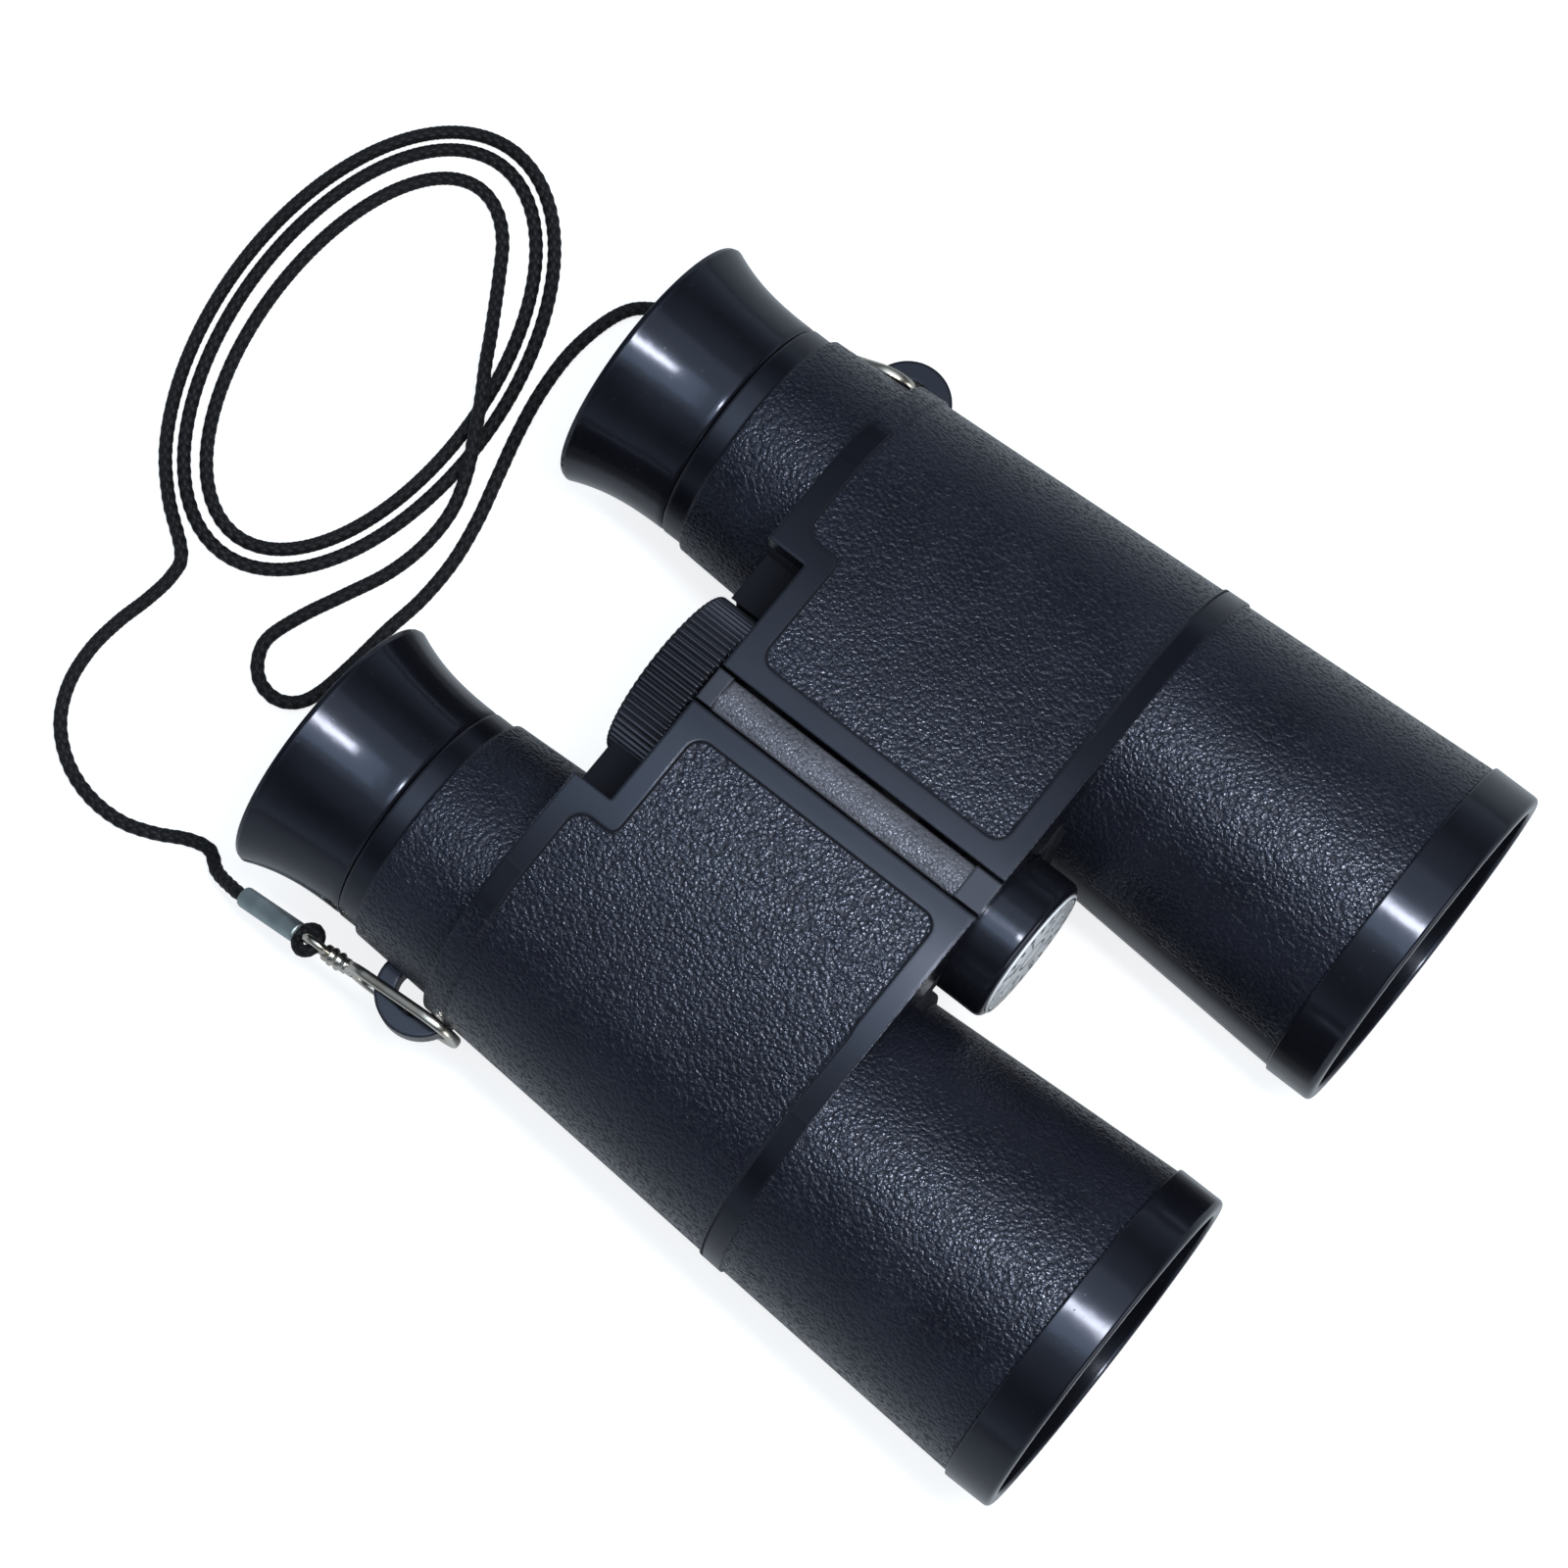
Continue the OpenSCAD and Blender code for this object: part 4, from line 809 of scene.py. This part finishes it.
# %% Dial cap
dial_outline = softened(
    [[0.0, -23.2], [9.5, -23.2], [9.5, -14.2], [1.52, -14.2], [1.52, -17.6], [0.0, -17.6]],
    [0.0, 1.2, 0.3, 0.2, 0.2, 0.0],
)
on_axis = dial_outline[:, 0] < 1e-9
first_of_corner = np.arange(len(dial_outline)) % CORNER_POINTS == 0
dial_outline = dial_outline[~on_axis | first_of_corner]
points, quads = turned(0.0, HINGE_Z, dial_outline[1:], 120, closed=False)
dial = piece("dial", points * MM, quads)
dial.data.materials.append(gloss_black)
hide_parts("dial_cap")
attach(dial, "right_half")

# %% Focus wheel
WHEEL_R, RIBS, RIB_D, RIB_POINTS = 11.1, 66, 0.6, 12
RIM_DEEP, RIM_FADE = 0.7, 0.6
wheel_outline = softened(
    [[1.57, 24.2], [WHEEL_R, 24.2], [WHEEL_R, 30.7], [3.6, 30.7], [3.6, 28.8], [1.57, 28.8]],
    [0.1, 0.5, 0.5, 0.2, 0.1, 0.1],
)
v = np.linspace(0, 2 * np.pi, RIBS * RIB_POINTS, endpoint=False)[None, :]
r, y = wheel_outline[:, :1], wheel_outline[:, 1:]
rim = np.clip((r - (WHEEL_R - RIM_DEEP)) / RIM_FADE, 0, 1)
dip = (0.5 - 0.5 * np.cos(RIBS * v)) ** 1.6
r = r - RIB_D * rim * dip
points = np.stack([r * np.sin(v), y + 0 * v, HINGE_Z + r * np.cos(v)], -1)
wheel = piece("wheel", points * MM, grid_quads(len(wheel_outline), RIBS * RIB_POINTS, wrap_rows=True))
wheel.data.materials.append(wheel_black)
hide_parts("focus_wheel")
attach(wheel, "focus_wheel_body")

# %% [markdown]
# ## Printed disc
# The disc on the dial carries plain ticks and numbers. The ticks are a pattern in the finish, which reads
# the angle and the distance from the hinge line. The numbers are flat letters, made into a mesh and laid
# on the disc.

# %% Disc with ticks
TICKS, TICK_FROM, TICK_TO = 24.0, 0.0061, 0.0077
HUB_LINE, RIM_LINE = (0.0019, 0.0024), (0.0079, 0.0082)
PAPER, INK = (0.9, 0.93, 0.98), (0.01, 0.01, 0.013)
label_print, tree, out = new_material("label_print")
turned_place = new_node(tree, "ShaderNodeMapping", vector_type="POINT")
turned_place.inputs["Location"].default_value = (0, 0, -HINGE_Z * MM)
join(tree, (coordinates(tree), turned_place.inputs["Vector"]))
axes = new_node(tree, "ShaderNodeSeparateXYZ")
join(tree, (turned_place.outputs[0], axes.inputs[0]))
turn_angle = worked(tree, "ARCTAN2", axes.outputs["X"], axes.outputs["Z"])
wave = worked(tree, "COSINE", worked(tree, "MULTIPLY", turn_angle, TICKS))
flat = new_node(tree, "ShaderNodeCombineXYZ")
join(tree, (axes.outputs["X"], flat.inputs[0]), (axes.outputs["Z"], flat.inputs[1]))
from_middle = new_node(tree, "ShaderNodeVectorMath", operation="LENGTH")
join(tree, (flat.outputs[0], from_middle.inputs[0]))
away = from_middle.outputs["Value"]
tick = lies_between(tree, away, TICK_FROM, TICK_TO, 0.00005)
tick = all_of(tree, lies_between(tree, wave, 0.35, 2.0, 0.05), tick)
hub = lies_between(tree, away, *HUB_LINE, 0.00005)
rim = lies_between(tree, away, *RIM_LINE, 0.00004)
mottle = use(tree, mottle_group, Place=coordinates(tree))
surface = principled(tree, out, IOR=1.45)
paper = worked(tree, "ADD", any_of(tree, tick, hub, rim), spread(tree, mottle.outputs["Tone"], 0.0, 0.12))
join(tree, (tint(tree, paper, PAPER, INK), surface["Base Color"]))
join(tree, (spread(tree, mottle.outputs["Tone"], 0.25, 0.4), surface["Roughness"]))
join(tree, (raised(tree, mottle.outputs["Ripple"], 0.00003), surface["Normal"]))

rim_outline = [[8.5, -23.2], [8.5, -23.3], [8.47, -23.38], [8.4, -23.43], [8.3, -23.45]]
disc_outline = np.array([[0, -23.2], *rim_outline, [0, -23.45]])
points, quads = turned(0.0, HINGE_Z, disc_outline, 120, closed=False)
disc = piece("dial_disc", points * MM, quads)
disc.data.materials.append(label_print)
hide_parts("dial_label")
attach(disc, "right_half")

# %% Numbers on the disc
NUMBERS, NUMBER_H, NUMBER_R, NUMBER_Y = 8, 3.4, 4.5, -23.47
ink, tree, out = new_material("black_ink")
mottle = use(tree, mottle_group, Place=coordinates(tree))
surface = principled(tree, out, IOR=1.45)
ink_tone = tint(tree, mottle.outputs["Tone"], (0.012, 0.012, 0.015), (0.03, 0.03, 0.034))
join(tree, (ink_tone, surface["Base Color"]))
join(tree, (spread(tree, mottle.outputs["Tone"], 0.3, 0.5), surface["Roughness"]))
flats = []
for k in range(NUMBERS):
    letters = bpy.data.curves.new("number", "FONT")
    letters.body = str(k + 1)
    letters.size = NUMBER_H * MM
    letters.align_x, letters.align_y = "CENTER", "CENTER"
    letters.resolution_u = 3
    shaped = bpy.data.objects.new("number", letters)
    bpy.context.collection.objects.link(shaped)
    flat_mesh = bpy.data.meshes.new_from_object(shaped.evaluated_get(bpy.context.evaluated_depsgraph_get()))
    bpy.data.objects.remove(shaped)
    spin = 2 * np.pi * k / NUMBERS
    upright = Matrix(((1, 0, 0), (0, 0, -1), (0, 1, 0))).to_4x4()
    lift = Matrix.Translation((0, NUMBER_Y * MM, HINGE_Z * MM)) @ Matrix.Rotation(spin, 4, "Y")
    flat_mesh.transform(lift @ Matrix.Translation((0, 0, NUMBER_R * MM)) @ upright)
    flats.append(flat_mesh)
work = bmesh.new()
for flat_mesh in flats:
    work.from_mesh(flat_mesh)
numbers_mesh = bpy.data.meshes.new("dial_numbers")
work.to_mesh(numbers_mesh)
work.free()
numbers = bpy.data.objects.new("dial_numbers", numbers_mesh)
bpy.context.collection.objects.link(numbers)
numbers.data.materials.append(ink)
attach(numbers, "right_half")
print("numbers:", len(numbers_mesh.polygons), "faces")

# %% [markdown]
# ## Clips, cord loops and sleeves
# Each end of the cord is folded to a small loop, held in a metal sleeve, and hooked to the barrel with a
# snap clip: a flat wire frame, a gate across it, a grooved swivel and an eye. All are made along Y and
# then tipped and swung to their places.

# %% Clip
def swept(path, along, normal, half_wide, half_high, sides=16, closed=True, power=1.0):
    """Carries an oval section along a flat path; its wide axis is the path's normal in its plane."""
    v = np.linspace(0, 2 * np.pi, sides, endpoint=False)[None, :, None]
    across = np.cross(along, normal)[:, None]
    c, s = np.cos(v), np.sin(v)
    c, s = np.sign(c) * np.abs(c) ** power, np.sign(s) * np.abs(s) ** power
    points = path[:, None] + across * half_wide * c + np.asarray(normal)[None, None] * half_high * s
    return points, grid_quads(len(path), sides, wrap_rows=closed)


def frame_path(half_high, low, high, steps=24):
    """Closed outline of two straight bars and two half circles, with its directions."""
    a = np.linspace(0, np.pi, steps)
    top = np.stack([0 * a, high + half_high * np.sin(a), half_high * np.cos(a)], 1)
    low_end = np.stack([0 * a, low - half_high * np.sin(a), -half_high * np.cos(a)], 1)
    path = np.concatenate([top, low_end])
    along_top = np.stack([0 * a, np.cos(a), -np.sin(a)], 1)
    return path, np.concatenate([along_top, -along_top])


def about_y(outline, around=40):
    """Points of an outline of (r, y) turned about the Y axis, for a piece that is placed later."""
    return turned(0.0, 0.0, np.asarray(outline, float), around, closed=False)


def snap_clip():
    """Frame, gate bar, grooved swivel and eye of one clip along Y."""
    across_x = np.array([1.0, 0.0, 0.0])
    path, along = frame_path(3.6, 0.0, 9.0)
    parts = [swept(path, along, across_x, 0.5, 0.68, power=0.8)]
    gate = about_y([[0, -3.2], [0.5, -3.2], [0.55, -3.0], [0.55, 3.0], [0.5, 3.2], [0, 3.2]], 24)
    parts.append((gate[0][..., [0, 2, 1]] + [0, 3.05, 0], gate[1]))
    y = np.linspace(12.2, 16.6, 34)
    groove = 0.16 * np.cos((y - 12.2) * 2 * np.pi / 1.1)
    body = np.where(y < 13.6, 0.85, 1.05) + groove * (y > 13.2) * (y < 16.2)
    swivel = np.concatenate([[[0, 12.2]], np.stack([body, y], 1), [[0, 16.6]]])
    parts.append(about_y(swivel))
    a = np.linspace(0, 2 * np.pi, 40, endpoint=False)
    eye = np.stack([0 * a, CLIP_EYE + 1.7 * np.sin(a), 1.7 * np.cos(a)], 1)
    eye_along = np.stack([0 * a, np.cos(a), -np.sin(a)], 1)
    parts.append(swept(eye, eye_along, across_x, 0.5, 0.55))
    return joined(parts)


def placed(points, at, turns):
    """Tips points about X, swings them about Z and moves them to their place."""
    tip, swing = np.radians(turns)
    about_x = np.array([[1, 0, 0], [0, np.cos(tip), -np.sin(tip)], [0, np.sin(tip), np.cos(tip)]])
    about_z = np.array([[np.cos(swing), -np.sin(swing), 0], [np.sin(swing), np.cos(swing), 0], [0, 0, 1]])
    return points @ (about_z @ about_x).T + at


strap = {
    "right": (right_clip_at, right_turn, right_loop_at, right_sleeve_turn, right_sleeve_at),
    "left": (left_clip_at, left_turn, left_loop_at, left_sleeve_turn, left_sleeve_at),
}
clip_points, clip_quads = snap_clip()
for side, (clip_at, clip_turn, _, _, _) in strap.items():
    clip = piece(side + "_snap_clip", placed(clip_points, clip_at, clip_turn) * MM, clip_quads)
    clip.data.materials.append(nickel)
    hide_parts(side + "_clip")
    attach(clip, side + "_half")


# %% Cord loops and sleeves
def cord_eye():
    """Small closed loop of cord in the XY plane, its thickness swelling with the plaits."""
    rows, sides, plait = 96, 16, 0.07
    a = np.linspace(0, 2 * np.pi, rows, endpoint=False)[:, None]
    v = np.linspace(0, 2 * np.pi, sides, endpoint=False)[None, :]
    r = LOOP_WIRE - plait + plait * np.sqrt(np.abs(np.cos(2 * v + 6 * a) * np.cos(2 * v - 6 * a)))
    far = LOOP_R + r * np.cos(v)
    points = np.stack([far * np.sin(a), far * np.cos(a), r * np.sin(v)], -1)
    quads = grid_quads(rows, sides, wrap_rows=True)
    i, j = np.divmod(np.arange(len(quads)), sides)
    around, along = np.stack([j, j, j + 1, j + 1], -1), np.stack([i, i + 1, i + 1, i], -1)
    return points, quads, np.stack([around, along], -1) / sides


CRIMPS, CRIMP_W, CRIMP_D = (2.9, 7.7), 0.7, 0.07


def crimped_sleeve():
    """Sleeve along Y: an oval section that narrows slightly at two crimps and rolls in at both ends."""
    start = np.array([0, 0, 0.12])
    y = np.concatenate([start, np.linspace(0.3, SLEEVE_L - 0.3, 60), SLEEVE_L - start[::-1]])[:, None]
    v = np.linspace(0, 2 * np.pi, 40, endpoint=False)[None, :]
    end = np.minimum(y, SLEEVE_L - y)
    crimp = sum(np.exp(-(((y - at) / CRIMP_W) ** 2)) for at in CRIMPS)
    r = SLEEVE_R - 0.18 * np.exp(-end / 0.08) - CRIMP_D * crimp * np.sin(v) ** 2
    r[[0, -1]] = 1e-4
    squash = 1 - 0.1 * np.sin(v) ** 2
    points = np.stack([r * np.cos(v), y + 0 * v, r * squash * np.sin(v)], -1)
    return points, grid_quads(len(y), 40)


loop_points, loop_quads, loop_uv = cord_eye()
sleeve_points, sleeve_quads = crimped_sleeve()
for side, (_, _, loop_at, sleeve_turn, sleeve_at) in strap.items():
    points = placed(loop_points, loop_at, sleeve_turn) * MM
    small_loop = piece(side + "_loop_of_cord", points, loop_quads, loop_uv)
    small_loop.data.materials.append(braid_black)
    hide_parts(side + "_cord_loop")
    sleeve = piece(side + "_sleeve", placed(sleeve_points, sleeve_at, sleeve_turn) * MM, sleeve_quads)
    sleeve.data.materials.append(sleeve_metal)
    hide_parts(side + "_ferrule")
    for part in (small_loop, sleeve):
        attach(part, side + "_half")

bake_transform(cord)

# %% [markdown]
# ## Nodes that keep their shape
# Shells, strip, lenses, screws and the hidden pieces of the focus drive keep their solid shapes and only
# change their finish. A node's finish goes into its material slots.

# %% Finishes of the kept nodes
INNER = ("lens_retainer", "eyepiece_tube", "eye_retainer", "focus_arm")
LENSES = ("objective_lens", "eye_lens")
kept = {
    body_black: ["right_top_shell", "right_bottom_shell", "left_top_shell", "left_bottom_shell"],
    strip_black: ["hinge_strip"],
    inner_black: [side + "_" + name for side in SIDES for name in INNER],
    lens_glass: [side + "_" + name for side in SIDES for name in LENSES],
    steel: ["right_shell_screws", "left_shell_screws", "hinge_axle", "axle_nut", "focus_screw"],
}
for finish, names in kept.items():
    for name in names:
        mesh = nodes[name].data
        mesh.materials.clear()
        mesh.materials.append(finish)
    print(finish.name, "on", len(names), "nodes")
